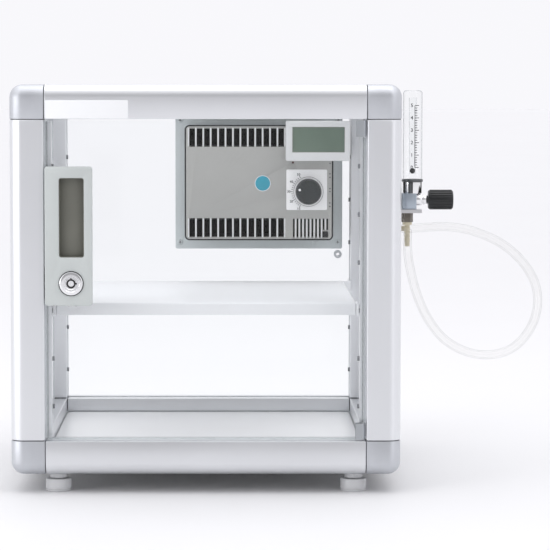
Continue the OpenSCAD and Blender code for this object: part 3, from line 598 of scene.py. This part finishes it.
def from_corner(side_x, side_y, top):
    """Functions that measure inwards from one outer edge of the frame, along X, Y and Z."""
    return (lambda a: side_x * (OUT_HIGH.x - a), lambda b: side_y * (OUT_HIGH.y - b),
            lambda c: OUT_HIGH.z - c if top else OUT_LOW.z + c)


def add_bars():
    for side_y, row in ((-1, "front"), (1, "rear")):
        for side_x, column in ((-1, "left"), (1, "right")):
            x, y = from_corner(side_x, side_y, False)[:2]
            add_bar("post_%s_%s" % (row, column), side_y > 0, True,
                    lambda a, b, t, x=x, y=y: (x(a), y(b), t), IN_LOW.z, IN_HIGH.z, bar_z)
        for top, level in ((False, "bottom"), (True, "top")):
            y, z = from_corner(1, side_y, top)[1:]
            add_bar("rail_%s_%s" % (row, level), True, side_y > 0,
                    lambda a, b, t, y=y, z=z: (t, y(a), z(b)), IN_LOW.x, IN_HIGH.x, bar_x)
    for top, level in ((False, "bottom"), (True, "top")):
        shape = Shape()
        for side_x in (-1, 1):
            x, z = from_corner(side_x, 1, top)[::2]
            joined_bar(shape, True, True, lambda a, b, t, x=x, z=z: (x(a), t, z(b)), IN_LOW.y, IN_HIGH.y)
        shape.piece("side_rails_%s_bars" % level, [bar_y, dark_rubber],
                    ["side_rails_" + level], "bar_alu")


def corner_cube():
    """A cube at the origin, whose three edges there are round and whose other edges are eased."""
    part = block((0, 0, 0), (BAR_WIDTH,) * 3, 0)
    outer = [e for e in part.edges
             if sum(1 for i in range(3) if all(abs(v.co[i]) < 0.01 for v in e.verts)) == 2]
    ease_edges(part, outer, EDGE_RADIUS, 12)
    sharp = [e for e in part.edges if len(e.link_faces) == 2 and e.calc_face_angle(0) > radians(50)]
    ease_edges(part, sharp, 0.6, 2)
    return part


def add_corners():
    shape = Shape()
    for side_x in (-1, 1):
        for side_y in (-1, 1):
            for side_z in (-1, 1):
                start = (side_x * OUT_HIGH.x, side_y * OUT_HIGH.y, OUT_HIGH.z if side_z > 0 else OUT_LOW.z)
                inwards = Matrix.Diagonal((-side_x, -side_y, -side_z, 1))
                shape.add(corner_cube(), at(*start, inwards))
    shape.piece("corner_castings", [corner_metal], ["corner_blocks"], "cast_corner", 30)


PAD_HEIGHT = 13.5
STUD_RADIUS = 4
COLLAR_RADIUS = 9.75


def add_feet():
    """Turned pads with a groove low down, on studs that run up into the bars."""
    for name in ("foot_front_left", "foot_front_right", "foot_rear_left", "foot_rear_right"):
        low, high = corners(name)
        spot = (low + high) / 2
        place = at(spot.x, spot.y, 0)
        radius = (high.x - low.x) / 2
        shape = Shape()
        shape.add(lathe([(0, 0), (radius - 1, 0), (radius - 0.3, 0.4), (radius - 0.3, 2), (radius - 0.8, 2.2),
                         (radius - 0.8, 2.7), (radius, 2.9), (radius, PAD_HEIGHT - 1),
                         (radius - 0.3, PAD_HEIGHT - 0.3), (radius - 1, PAD_HEIGHT), (0, PAD_HEIGHT)], 64),
                  place)
        shape.add(lathe(disc_profile(STUD_RADIUS, PAD_HEIGHT - 0.5, high.z, 0.5), 24), place, 1)
        shape.piece(name + "_pad", [foot_plastic, steel], [name], "foot_grey",
                    body=name.replace("foot_", "") + "_foot")
    low, high = corners("foot_collars")
    ring = disc_profile(COLLAR_RADIUS, low.z, high.z, 0.6, STUD_RADIUS + 0.05)
    shape = Shape()
    for x in (low.x + COLLAR_RADIUS, high.x - COLLAR_RADIUS):
        for y in (low.y + COLLAR_RADIUS, high.y - COLLAR_RADIUS):
            shape.add(lathe(ring, 48), at(x, y, 0))
    shape.piece("foot_collar_rings", [foot_plastic], ["foot_collars"], "steel")


def add_label():
    """A blank white label on the top rail."""
    shape = Shape()
    shape.front([rounded((-171.0, 403.4), (-82.6, 423.2), 1.2)], -OUT_LOW.y, -OUT_LOW.y + 0.35, 0.1)
    shape.piece("blank_label", [label_paper], slot="white_plastic")


def add_floor_bead():
    """The thin grey bead round the edge of the floor, with round corners."""
    top = corners("floor_panel")[1].z + 0.5
    reach_x, reach_y = IN_HIGH.x - 1.2, IN_HIGH.y - 1.2
    outline = rounded((-reach_x, -reach_y), (reach_x, reach_y), 12, 8)
    shape = Shape()
    shape.add(rod([(x, y, top) for x, y in outline + outline[:1]], 0.55, 10))
    shape.piece("floor_bead", [grey_plastic], slot="pale_seal")


# ---- Door ----

POCKET_LOW = (-156.3, 255.7)
POCKET_HIGH = (-129.7, 340.3)
POCKET_DEPTH = 9.5
POCKET_RADIUS = 2.5


def add_handle():
    """The pull, with a finger pocket whose dark colour is painted shade, and a hole for the lock."""
    low, high = corners("handle_block")
    lock = middle("lock_core")
    bottom = -low.y - POCKET_DEPTH
    pocket = rounded(POCKET_LOW, POCKET_HIGH, POCKET_RADIUS)
    shape = Shape()
    shape.front([facing(low, high, 3), pocket, circle(lock.x, lock.z, 9.5)], -high.y, -low.y, 0.8)
    # The pocket's floor and walls take the dark colour: painted shade in the recess.
    shape.front([pocket], -high.y, bottom, 0.1, 1)
    shape.add(ring_plate(POCKET_LOW, POCKET_HIGH, POCKET_RADIUS, 0.7, bottom - 0.2, -low.y - 1.2), FRONT, 1)
    shape.piece("handle_with_pocket", [handle_plastic, pocket_painted_shade], ["handle_block"],
                "handle_plastic", body="door")


def add_lock():
    """Plated face ring with a dark gasket, and a core with a ring-shaped key way and its notches."""
    low, high = corners("lock_barrel")
    front, radius = -low.y, (high.x - low.x) / 2 - 0.7
    face = -corners("handle_block")[0].y
    spot = middle("lock_core")
    place = at(spot.x, 0, spot.z, FRONT)
    hole = 6.05
    shape = Shape()
    shape.add(lathe([(hole, -high.y), (9.5, -high.y), (9.5, face), (radius, face), (radius, front - 1.2),
                     (radius - 0.4, front - 0.4), (radius - 1.2, front), (9.2, front), (8.6, front - 0.5),
                     (7.6, front - 0.5), (7.2, front), (hole + 0.4, front), (hole, front - 0.4)], 64), place)
    shape.add(lathe([(radius - 0.6, face), (radius + 0.7, face), (radius + 0.7, face + 0.5),
                     (radius - 0.6, face + 0.5)], 64), place, 1)
    nut = circle(0, 0, 13, 6)
    shape.add(plate([nut, circle(0, 0, 9.5)], -high.y, -corners("door_panel")[1].y, 0.3), place, 2)
    shape.piece("lock_ring", [plating, dark_rubber, steel], ["lock_barrel"], "chromed", body="door")

    core_low, core_high = corners("lock_core")
    face = -core_low.y
    shape = Shape()
    shape.add(lathe([(0, -core_high.y), (4, -core_high.y), (4, -core_high.y + 3.5), (6, -core_high.y + 3.7),
                     (6, face - 0.3), (5.7, face), (5.1, face), (5.1, face - 4), (3.3, face - 4),
                     (3.3, face - 0.3), (3.0, face), (1, face), (0.7, face - 0.5), (0, face - 0.5)], 48),
              place)
    shape.add(lathe([(3.35, face - 3.9), (5.05, face - 3.9), (5.05, face - 0.5), (3.35, face - 0.5)], 48),
              place, 1)
    for u, v, size in ((6.1, 0, 1.3), (0, 6.3, 0.9)):
        notch = plate([circle(u * 0.88, v * 0.88, size * 0.7, 16)], face - 0.3, face + 0.1, 0.05)
        shape.add(notch, place, 1)
    shape.piece("lock_core_face", [plating, black_plastic], ["lock_core"], "chromed", body="lock")


# ---- Shelf ----

def add_shelf():
    """One folded sheet: a top with four lips, bent with a small radius."""
    low, high = corners("shelf")
    thick, bend = 1.5, 2.2
    part = block(low, high, 0)
    under = [f for f in part.faces if f.normal.z < -0.9]
    bmesh.ops.delete(part, geom=under, context="FACES")
    folds = [e for e in part.edges if len(e.link_faces) == 2]
    ease_edges(part, folds, bend, 4)
    bmesh.ops.recalc_face_normals(part, faces=part.faces)
    bmesh.ops.solidify(part, geom=part.faces[:], thickness=thick)
    shape = Shape()
    shape.add(part)
    shape.piece("folded_shelf", [shelf_paint], ["shelf"], "white_sheet", body="shelf")


# ---- Thermal unit ----

WALL = 2.5
LAMP = (101.7, 346.8)
SLOT_START, SLOT_PITCH, SLOT_COUNT = -22.3, 8.88, 13
VENT_START, VENT_PITCH, VENT_COUNT = 101.9, 4.46, 8
PRINTED = 0.08


def slot_row(start, pitch, width, count, low, high):
    return [rounded((start + i * pitch, low), (start + i * pitch + width, high), 0.4, 2)
            for i in range(count)]


def cover_holes():
    """Two rows of air slots, small vents, and openings for the switch, the dial and the lamp."""
    dial, switch = middle("dial_knob"), middle("power_switch")
    last_vents = VENT_START + VENT_COUNT * VENT_PITCH
    return [*slot_row(SLOT_START, SLOT_PITCH, 6.6, SLOT_COUNT, 365.7, 388.5),
            *slot_row(SLOT_START, SLOT_PITCH, 6.6, SLOT_COUNT, 256.8, 280),
            *slot_row(VENT_START, VENT_PITCH, 1.9, VENT_COUNT, 256.2, 279.4),
            *slot_row(last_vents, VENT_PITCH, 1.9, 2, 265.7, 279.4),
            rounded((switch.x - 3.3, switch.z - 3.65), (switch.x + 3.3, switch.z + 3.65), 0.3, 2),
            circle(dial.x, dial.z, 3.3, 24), circle(*LAMP, 1.3, 16)]


def cover_ridges():
    """Left edge, width, bottom and top of the light ridges between the slots and between the vents."""
    ridges = [(SLOT_START + i * SLOT_PITCH - 2.0, 1.7, z, z + tall)
              for i in range(SLOT_COUNT + 1) for z, tall in ((366, 22.2), (257.1, 22.6))]
    ridges += [(VENT_START + i * VENT_PITCH - 2.1, 1.6, 256.5, 279.1) for i in range(1, VENT_COUNT + 1)]
    return ridges + [(139.9, 1.6, 266, 279.1)]


def add_inner_cover():
    """The slotted cover with its lamp and printed dots, its dark edging, and black sheets inside it that are
    painted shade.
    """
    low, high = corners("unit_inner_cover")
    front, back = -low.y, -high.y
    shape = Shape()
    shape.front([facing(low, high, 4)] + cover_holes(), front - WALL, front, 0.3)
    for z in (294.1, 298.3, 311.9, 315.5, 329, 333.2, 345.8):
        shape.front([circle(146.1, z, 0.8, 12)], front - 0.1, front + PRINTED, 0, 2)
    for u, wide, start, end in cover_ridges():
        shape.add(block((u, -front - 0.55, start), (u + wide, -front + 0.6, end), 0.45, 3), UPRIGHT, 3)
    shape.add(ring_plate((low.x, low.z), (high.x, high.z), 4, WALL, back, front - WALL + 0.2), FRONT)
    shape.front([circle(*LAMP, 1.2, 16)], front - 2, front + 0.6, 0.3, 1)
    board_low, board_high = corners("control_board")
    for x in (board_low.x + 4, board_high.x - 4):
        for z in (board_low.z + 22, board_high.z - 4):
            shape.add(lathe(disc_profile(2.5, -board_low.y, front - WALL, 0.2), 16), at(x, 0, z, FRONT))
    shape.piece("inner_cover_shell", [cover_paint, lamp_red, ink, display_plastic],
                ["unit_inner_cover"], "cover_paint")

    gasket = Shape()
    gasket.front([facing(low, high, 5.8, 1.8), facing(low, high, 4.05, 0.05)], front - 5, front - 0.9, 0.3)
    gasket.piece("cover_edging", [dark_rubber], slot="black_plastic")

    # Black sheets over the inside walls and round the cold sink: painted shade, so the inside of the unit
    # looks dark.
    shade_sheets = Shape()
    shade_sheets.add(ring_plate((low.x + WALL, low.z + WALL), (high.x - WALL, high.z - WALL), 2, 1.2,
                          back, front - WALL - 0.3, 0.1), FRONT)
    sink_hole = facing(*corners("cold_sink"), 0.5, 0.3, 2)
    flange_back = -corners("unit_flange")[1].y
    shade_sheets.front([facing(low, high, 1.5, -3.6), sink_hole], flange_back + 0.1, back + 2, 0.1)
    shade_sheets.piece("painted_shade_sheet", [painted_shade_black], slot="black_plastic")


def add_flange():
    low, high = corners("unit_flange")
    shape = Shape()
    shape.front([facing(low, high, 2), facing(*corners("unit_inner_cover"), 2, -6)], -high.y, -low.y, 0.4)
    shape.piece("flange_plate", [flange_paint], ["unit_flange"], "flange_paint")


def add_badge():
    """A plain round sticker."""
    front = -corners("unit_inner_cover")[0].y
    centre = (65.5, 321.8)
    edge = circle(*centre, 9.5, 48)
    shape = Shape()
    shape.front([edge], front, front + 0.4, 0.15)
    shape.front([edge, circle(*centre, 8.9, 48)], front + 0.1, front + 0.55, 0.1, 1)
    shape.piece("round_sticker", [teal_ink, label_paper], slot="white_plastic")


def add_display():
    """The housing with an open front, and the blank window set into it behind a thin rim."""
    low, high = corners("display_housing")
    window_box = corners("display_window")
    front = -low.y
    window = facing(*window_box, 0.8, 0, 3)
    outline = facing(low, high, 1.8)
    shape = Shape()
    shape.front([outline, window], front - 2.5, front, 0.5)
    shape.front([outline], -high.y, front - 2.5 + 0.2, 0.3)
    shape.piece("display_case", [display_plastic], ["display_housing"], "light_plastic")
    glass = Shape()
    glass.front([window], front - 2.4, front - 1, 0.15)
    glass.front([window, facing(*window_box, 0.5, -0.9)], front - 1.05, front - 0.85, 0.05, 1)
    glass.piece("display_glass", [lcd, lcd_rim], ["display_window"], "lcd")


def number(text, size, u, v, low, high):
    """A plain generic numeral as a thin solid."""
    letters = bpy.data.curves.new("number", "FONT")
    letters.body = text
    letters.size = size
    letters.align_x = "CENTER"
    letters.align_y = "CENTER"
    letters.extrude = (high - low) / 2
    letters.resolution_u = 2
    letters.offset = 0.02 * size
    return part_of(letters, (u, v, (low + high) / 2))


def dash(u, v, long, wide, angle, low, high):
    """A thin printed line, centred on (u, v) and turned by an angle in degrees."""
    part = block((-long / 2, -wide / 2, low), (long / 2, wide / 2, high), 0)
    turn = Matrix.Rotation(radians(angle), 4, "Z")
    bmesh.ops.transform(part, matrix=at(u, v, 0, turn), verts=part.verts)
    return part


def add_ribs(shape, count, low, high, bevel, place):
    """Equal blocks set round an axis."""
    for i in range(count):
        turn = Matrix.Rotation(2 * pi * i / count, 4, "Z")
        shape.add(block(low, high, bevel), place @ turn)


DIAL_STEPS = 16
DIAL_START = 120
DIAL_SWEEP = 120
DIAL_TOP = 5


def add_dial():
    """The plate with its generic scale, 10 to 50, and the knob with a pointer dot."""
    low, high = corners("dial_plate")
    spot = middle("dial_knob")
    front = -low.y
    ink_low, ink_high = front - 0.05, front + PRINTED
    centre = (spot.x, spot.z)
    shape = Shape()
    shape.front([facing(low, high, 1.5), circle(*centre, 3.3, 24)], -high.y, front, 0.25)
    shape.front([circle(*centre, 17.9, 72), circle(*centre, 17.5, 72)], ink_low, ink_high, 0.02, 1)
    for i in range(DIAL_STEPS + 1):
        angle = DIAL_START + DIAL_SWEEP * i / DIAL_STEPS
        across, up = cos(radians(angle)), sin(radians(angle))
        reach, long = (20.2, 2.8) if i % 4 == 0 else (19.7, 1.8)
        line = dash(centre[0] + reach * across, centre[1] + reach * up, long, 0.6, angle, ink_low, ink_high)
        shape.add(line, FRONT, 1)
        if i % 4 == 0:
            numeral = str(10 * (DIAL_TOP - i // 4))
            shape.add(number(numeral, 4, centre[0] + 23.6 * across, centre[1] + 23.6 * up, ink_low, ink_high),
                      FRONT, 1)
    shape.piece("dial_scale", [white_plastic, ink], ["dial_plate"], "white_plastic")

    low, high = corners("dial_knob")
    radius = (high.x - low.x) / 2
    face, back = -low.y, front + 0.5
    shape = Shape()
    here = at(spot.x, 0, spot.z, FRONT)
    shape.add(lathe([(0, back), (radius, back), (radius, back + 2.4), (radius - 0.4, back + 3),
                     (radius - 0.9, face - 1.5), (radius - 1.4, face - 0.5), (radius - 2.4, face),
                     (radius - 4, face), (radius - 4.4, face - 0.3), (0, face - 0.3)], 72), here)
    add_ribs(shape, 36, (radius - 1.4, -0.45, back + 3.2), (radius - 0.25, 0.45, face - 1.2), 0.25, here)
    shape.add(lathe(disc_profile(3, -high.y, back + 0.5, 0.3), 24), here, 2)
    shape.add(plate([circle(-10.9, 2.6, 1.5, 24)], face - 0.5, face + 0.05, 0.1), here, 1)
    shape.piece("dial_cap", [knob_plastic, label_paper, steel], ["dial_knob"], "dark_plastic", body="dial")


def add_outer_cover():
    """Rear cover with outlet slots behind the fan and intake slots above and below."""
    low, high = corners("unit_outer_cover")
    duct = middle("exhaust_fan").x
    mid_z = (low.z + high.z) / 2
    opening = facing(*corners("power_inlet"), 1, -3)
    holes = [rounded((duct + x - 2.5, mid_z - 36), (duct + x + 2.5, mid_z + 36), 2.4, 5)
             for x in range(-32, 33, 8)]
    shape = Shape()
    shape.front([facing(low, high, 4)] + holes + [opening], -high.y, -high.y + WALL, 0.4)
    side = ((low.x, low.z), (high.x, high.z), 4, WALL)
    near, far = -low.y, -high.y + WALL - 0.2
    slots_near, slots_far = near - 8, near - 30
    front_y, rear_y = -slots_near - 0.2, -slots_far + 0.2
    shape.add(ring_plate(*side, slots_near, near), FRONT)
    shape.add(ring_plate(*side, far, slots_far), FRONT)
    for x in (low.x, high.x - WALL):
        shape.add(block((x, front_y, low.z + 4), (x + WALL, rear_y, high.z - 4), 0))
    edges = [low.x + 4] + [duct + x + s for x in range(-40, 41, 8) for s in (-2, 2)] + [high.x - 4]
    for z in (low.z, high.z - WALL):
        for left, right in zip(edges[::2], edges[1::2]):
            shape.add(block((left, front_y, z), (right, rear_y, z + WALL), 0.1))
    for x in (low.x + 4, high.x - 4):
        for z in (low.z + 4, high.z - 4):
            shape.add(lathe(disc_profile(4, slots_far - 0.2, slots_near + 0.2, 0.1), 24), at(x, 0, z, FRONT))
    shape.piece("outer_cover_shell", [cover_paint], ["unit_outer_cover"], "cover_paint")


def add_inlet():
    """Three-pin mains inlet: flange, socket and three blades."""
    low, high = corners("power_inlet")
    centre = ((low.x + high.x) / 2, (low.z + high.z) / 2)
    socket = rounded((centre[0] - 12.2, centre[1] - 8.2), (centre[0] + 12.2, centre[1] + 8.2), 3)
    body = facing(low, high, 1, -3)
    shape = Shape()
    shape.front([facing(low, high, 2), socket], -high.y, -high.y + 2, 0.5)
    shape.front([body, socket], -high.y + 1.8, -low.y, 0.1)
    shape.front([body], -low.y - 2, -low.y, 0.1)
    for u, v in ((-7, -1), (7, -1), (0, 3)):
        shape.add(block((centre[0] + u - 1, low.y + 1, centre[1] + v - 2),
                        (centre[0] + u + 1, high.y - 3, centre[1] + v + 2), 0.3), UPRIGHT, 1)
    shape.piece("mains_socket", [black_plastic, steel], ["power_inlet"], "black_plastic")


def screw_head(radius, height):
    """A pan head with a cross recess, made of a dome and two dark bars sunk in it."""
    dome = lathe([(0, 0), (radius, 0), (radius, 0.4 * height), (0.85 * radius, 0.8 * height),
                  (0.5 * radius, height), (0, height)], 32)
    cross = [block((-0.55 * radius, -0.35, height - 0.5), (0.55 * radius, 0.35, height + 0.03), 0),
             block((-0.35, -0.55 * radius, height - 0.5), (0.35, 0.55 * radius, height + 0.03), 0)]
    return dome, cross


def add_screws():
    flange = -corners("unit_flange")[0].y
    bracket = corners("flowmeter_bracket")
    meter = middle("flow_tube")
    shape = Shape()
    spots = [at(x, -flange, z, FRONT) for x in (-34.5, 158) for z in (247.9, 396.8)]
    spots += [at(bracket[0].x + 2.5, meter.y + y, 325, SIDE) for y in (-9, 9)]
    for i, spot in enumerate(spots):
        dome, cross = screw_head(3.2, 1.8)
        shape.add(dome, spot, 0 if i < 4 else 2)
        for bar in cross:
            shape.add(bar, spot, 1)
    shape.piece("screw_heads", [flange_paint, black_plastic, steel], ["screws"], "steel")


def add_grommet():
    low, high = corners("port_grommet")
    spot = (low + high) / 2
    shape = Shape()
    profile = [(2, low.y), (3.6, low.y), (4.8, low.y + 0.7), (4.8, low.y + 1.6), (3.5, low.y + 1.8),
               (3.5, high.y - 1.8), (4.8, high.y - 1.6), (4.8, high.y - 0.7), (3.6, high.y), (2, high.y)]
    shape.add(lathe([(r, -h) for r, h in profile], 40), at(spot.x, 0, spot.z, FRONT))
    shape.piece("port_ring", [seal_rubber], ["port_grommet"], "pale_seal")


# ---- Flow meter ----

def fitting_nose(start, length, barbs):
    """A hollow nose with soft barbs, pointing along Z."""
    profile = [(1.6, start), (2.8, start)]
    for i in range(barbs):
        z = start + 6 + i * 4
        profile += [(2.8, z), (3.4, z + 0.4), (2.8, z + 3)]
    end = start + length
    return lathe([*profile, (2.8, end - 0.6), (2.2, end), (1.6, end)], 32)


def hexagon_nut(low, high):
    return plate([circle(0, 0, 6.3, 6), circle(0, 0, 1.6, 24)], low, high, 0.5)


def add_fittings():
    """Outlet under the flow meter, port in the side panel with its inner nut, and supply spigot."""
    bracket_low = corners("flowmeter_bracket")[0]
    outlet = at(HOSE_ROUTE[0][0], HOSE_ROUTE[0][1], bracket_low.z, Matrix.Rotation(pi, 4, "X"))
    port_end = HOSE_ROUTE[-1]
    panel = corners("panel_right")
    port = at(panel[1].x, port_end[1], port_end[2], SIDE)
    shape = Shape()
    shape.add(hexagon_nut(0, 10.4), outlet, 1)
    shape.add(lathe(disc_profile(5.2, 10, 13.5, 0.6, 1.6), 40), outlet, 0)
    shape.add(fitting_nose(10, 27, 4), outlet, 0)
    shape.add(hexagon_nut(0, 6), port, 0)
    shape.add(fitting_nose(5.5, 24.5, 4), port, 0)
    shape.add(lathe([(1.6, -9), (3.95, -9), (3.95, 0.2), (1.6, 0.2)], 32), port, 0)
    shape.add(hexagon_nut(-9, -5), port, 0)
    supply = at(222.9, -125, middle("valve_knob").z, BACK)
    shape.add(hexagon_nut(0, 6), supply, 2)
    shape.add(lathe([(1.6, 5.5), (3, 5.5), (3, 18), (2.4, 19), (1.6, 19)], 32), supply, 2)
    shape.piece("fitting_set", [fitting_nylon, hex_brown, plating], ["hose_fittings"], "fitting")


SCALE_MARKS = 26
SCALE_START = 13
SCALE_STEP = 2.7


def add_flow_tube():
    """Clear tube with a domed top, a bore that widens upwards, and a scale on its front; and the float."""
    low, high = corners("flow_tube")
    centre = (low + high) / 2
    radius = (high.x - low.x) / 2
    place = at(centre.x, centre.y, 0)
    bore, bore_top = low.z + 6, low.z + (high.z - low.z) - 8
    start = low.z + SCALE_START
    shape = Shape()
    shape.add(lathe([(0, low.z), (radius, low.z), (radius, high.z - 3), (radius - 0.5, high.z - 1.4),
                     (radius - 1.6, high.z - 0.4), (radius - 3, high.z), (0, high.z)], 64), place)
    shape.add(lathe([(0, bore), (3.3, bore), (4.2, bore_top), (0, bore_top)], 32), place, 3)
    for i in range(SCALE_MARKS):
        z = start + i * SCALE_STEP
        long = 4.2 if i % 5 == 0 else 2.4
        shape.add(block((1.9, -radius - 0.12, z - 0.38), (1.9 + long, -radius + 0.9, z + 0.38), 0), place, 1)
    shape.add(block((1.3, -radius - 0.1, start),
                    (1.9, -radius + 0.3, start + SCALE_MARKS * SCALE_STEP - SCALE_STEP), 0), place, 1)
    for i in range(0, SCALE_MARKS, 5):
        shape.add(number(str(i // 5), 5.4, -1.6, start + i * SCALE_STEP, radius - 0.25, radius + 0.12),
                  at(centre.x, centre.y, 0, FRONT), 1)
    shape.piece("flow_tube_with_scale", [tube_acrylic, ink, white_plastic, bore_air],
                ["flow_tube"], "clear_tube", 40)
    shape = Shape()
    steps = 12
    profile = [(3 * sin(pi * i / steps), -3 * cos(pi * i / steps)) for i in range(steps + 1)]
    profile[0], profile[-1] = (0, -3), (0, 3)
    shape.add(lathe(profile, 28), at(*middle("flow_float")))
    shape.piece("float_ball", [black_plastic], ["flow_float"], "black_plastic", body="float")


BLOCK_TOP = 321
BLOCK_RIGHT = 230
HEAD_RADIUS = 10


def add_flow_head():
    """Fluted head under the tube, a block with eased edges, the valve's bonnet and the plate below."""
    low, high = corners("flowmeter_body")
    tube = middle("flow_tube")
    top = high.z
    place = at(tube.x, tube.y, 0)
    shape = Shape()
    shape.add(block((low.x, tube.y - 10, low.z), (BLOCK_RIGHT, tube.y + 10, BLOCK_TOP), 0.7))
    shape.add(block((low.x + 3, tube.y - 10.4, low.z + 1.5),
                    (BLOCK_RIGHT - 3.4, tube.y - 9.6, BLOCK_TOP - 1.5), 0.3))
    shape.add(lathe([(0, BLOCK_TOP - 0.4), (HEAD_RADIUS - 0.5, BLOCK_TOP - 0.4),
                     (HEAD_RADIUS, BLOCK_TOP + 0.4), (HEAD_RADIUS, top - 3.2), (0, top - 3.2)], 64), place, 1)
    shape.add(lathe([(0, top - 3.3), (10.6, top - 3.3), (11.5, top - 2.6), (11.5, top - 0.5), (11, top),
                     (0, top)], 48), place, 2)
    flutes = ((-8.9, 2.2, 3), (-4.6, 1.0, 3), (-2.7, 2.9, 2), (-0.7, 1.0, 3), (9.3, 1.0, 3))
    for side in (-1, 1):
        mirror = Matrix.Diagonal((1, -side, 1, 1))
        for across, wide, paint in flutes:
            deep = sqrt(HEAD_RADIUS ** 2 - across ** 2)
            flute = block((across - wide / 2, -0.8, BLOCK_TOP + 0.2),
                          (across + wide / 2, 0.35, top - 3.3), 0.2)
            shape.add(flute, at(tube.x, tube.y + side * deep, 0, mirror), paint)
    bonnet = at(0, tube.y, middle("valve_knob").z, SIDE)
    shape.add(lathe([(2.05, 229.4), (6.5, 229.4), (6.5, 235.6), (6.1, 236.2), (4.6, 236.4), (4.6, 242.4),
                     (4.2, 243), (2.05, 243)], 40), bonnet, 1)
    shape.add(lathe([(4.6, 237.4), (5.6, 237.6), (5.6, 239.2), (4.6, 239.4)], 40), bonnet, 1)
    shape.piece("flow_meter_head", [head_metal, plating, dark_metal, black_plastic],
                ["flowmeter_body"], "chromed")


def add_valve_knob():
    """Ribbed knob with a shallow recess in its end, on a steel spindle."""
    low, high = corners("valve_knob")
    centre = (low + high) / 2
    start, end = 243.4, high.x
    radius = 10.3
    here = at(0, centre.y, centre.z, SIDE)
    shape = Shape()
    shape.add(lathe([(0, start), (radius - 0.8, start), (radius, start + 0.8), (radius, end - 1.4),
                     (radius - 0.5, end - 0.4), (radius - 1.4, end), (8, end), (7.8, end - 0.8),
                     (0, end - 0.8)], 72), here)
    add_ribs(shape, 24, (radius - 0.6, -0.7, start + 1.5), (radius + 0.55, 0.7, end - 1.3), 0.35, here)
    shape.add(lathe(disc_profile(2, low.x, start + 0.5, 0.3), 20), here, 1)
    shape.piece("valve_grip", [valve_plastic, steel], ["valve_knob"], "black_plastic", body="valve")


for add_piece in (add_bars, add_corners, add_feet, add_label, add_floor_bead, add_handle, add_lock, add_shelf,
                  add_inner_cover, add_flange, add_badge, add_display, add_dial, add_outer_cover, add_inlet,
                  add_screws, add_grommet, add_fittings, add_flow_tube, add_flow_head, add_valve_knob):
    add_piece()


# ---- Room ----

HORIZON = 0.97
ABOVE_GAIN = 0.45
STRIP_GAIN = 0.55
STRIP_AZIMUTH = 0.78
FRONT_DIP = 0.52
FLOOR_REACH = 60


def add_area(name, place, target, size, power):
    data = bpy.data.lights.new(name, "AREA")
    data.shape = "RECTANGLE"
    data.size, data.size_y = size
    data.energy = power
    lamp = new_object(name, data)
    lamp.location = place
    lamp.rotation_euler = (Vector(target) - Vector(place)).to_track_quat("-Z", "Y").to_euler()


def add_world():
    """A pale studio: bright above, a strip of light to the left and right of the front, a dimmer front."""
    world = bpy.data.worlds.new("studio")
    world.use_nodes = True
    tree = world.node_tree
    background = tree.nodes["Background"]
    place = add_node(tree, "TexCoord")
    split = add_node(tree, "SeparateXYZ")
    tree.links.new(place.outputs["Generated"], split.inputs[0])
    x, y, z = split.outputs
    above = to_range(tree, z, 0, ABOVE_GAIN, 0.50, 0.66)
    forward = math_node(tree, "MULTIPLY", y, -1)
    across = math_node(tree, "ABSOLUTE", x)
    azimuth = math_node(tree, "ARCTAN2", across, forward)
    off_strip = math_node(tree, "ABSOLUTE", math_node(tree, "SUBTRACT", azimuth, STRIP_AZIMUTH))
    strip = to_range(tree, off_strip, STRIP_GAIN, 0, 0.10, 0.24)
    front = to_range(tree, azimuth, FRONT_DIP, 0, 0.38, 0.66)
    level = math_node(tree, "ADD", HORIZON, above)
    level = math_node(tree, "ADD", level, strip)
    level = math_node(tree, "SUBTRACT", level, front)
    background.inputs["Color"].default_value = (0.972, 0.968, 1.0, 1)
    tree.links.new(level, background.inputs["Strength"])
    bpy.context.scene.world = world


def add_floor():
    floor_paint = surface("floor_paint", (0.755, 0.755, 0.76), 0.6, 0, 0.004, 2, 0.02, 300)
    reach = FLOOR_REACH
    edge = [(-reach, -reach, 0), (reach, -reach, 0), (reach, reach, 0), (-reach, reach, 0)]
    add_mesh("floor", mesh_of("floor", edge, [(0, 1, 2, 3)]), [floor_paint])


add_world()
add_floor()
add_area("overhead", (0, -0.2, 2.2), (0, 0, 0.2), (2.2, 1.8), 9)
add_area("low_left", (-1.4, -0.9, 0.35), (-0.1, -0.2, 0), (1.2, 0.5), 4)
bpy.context.scene.view_settings.view_transform = "Standard"
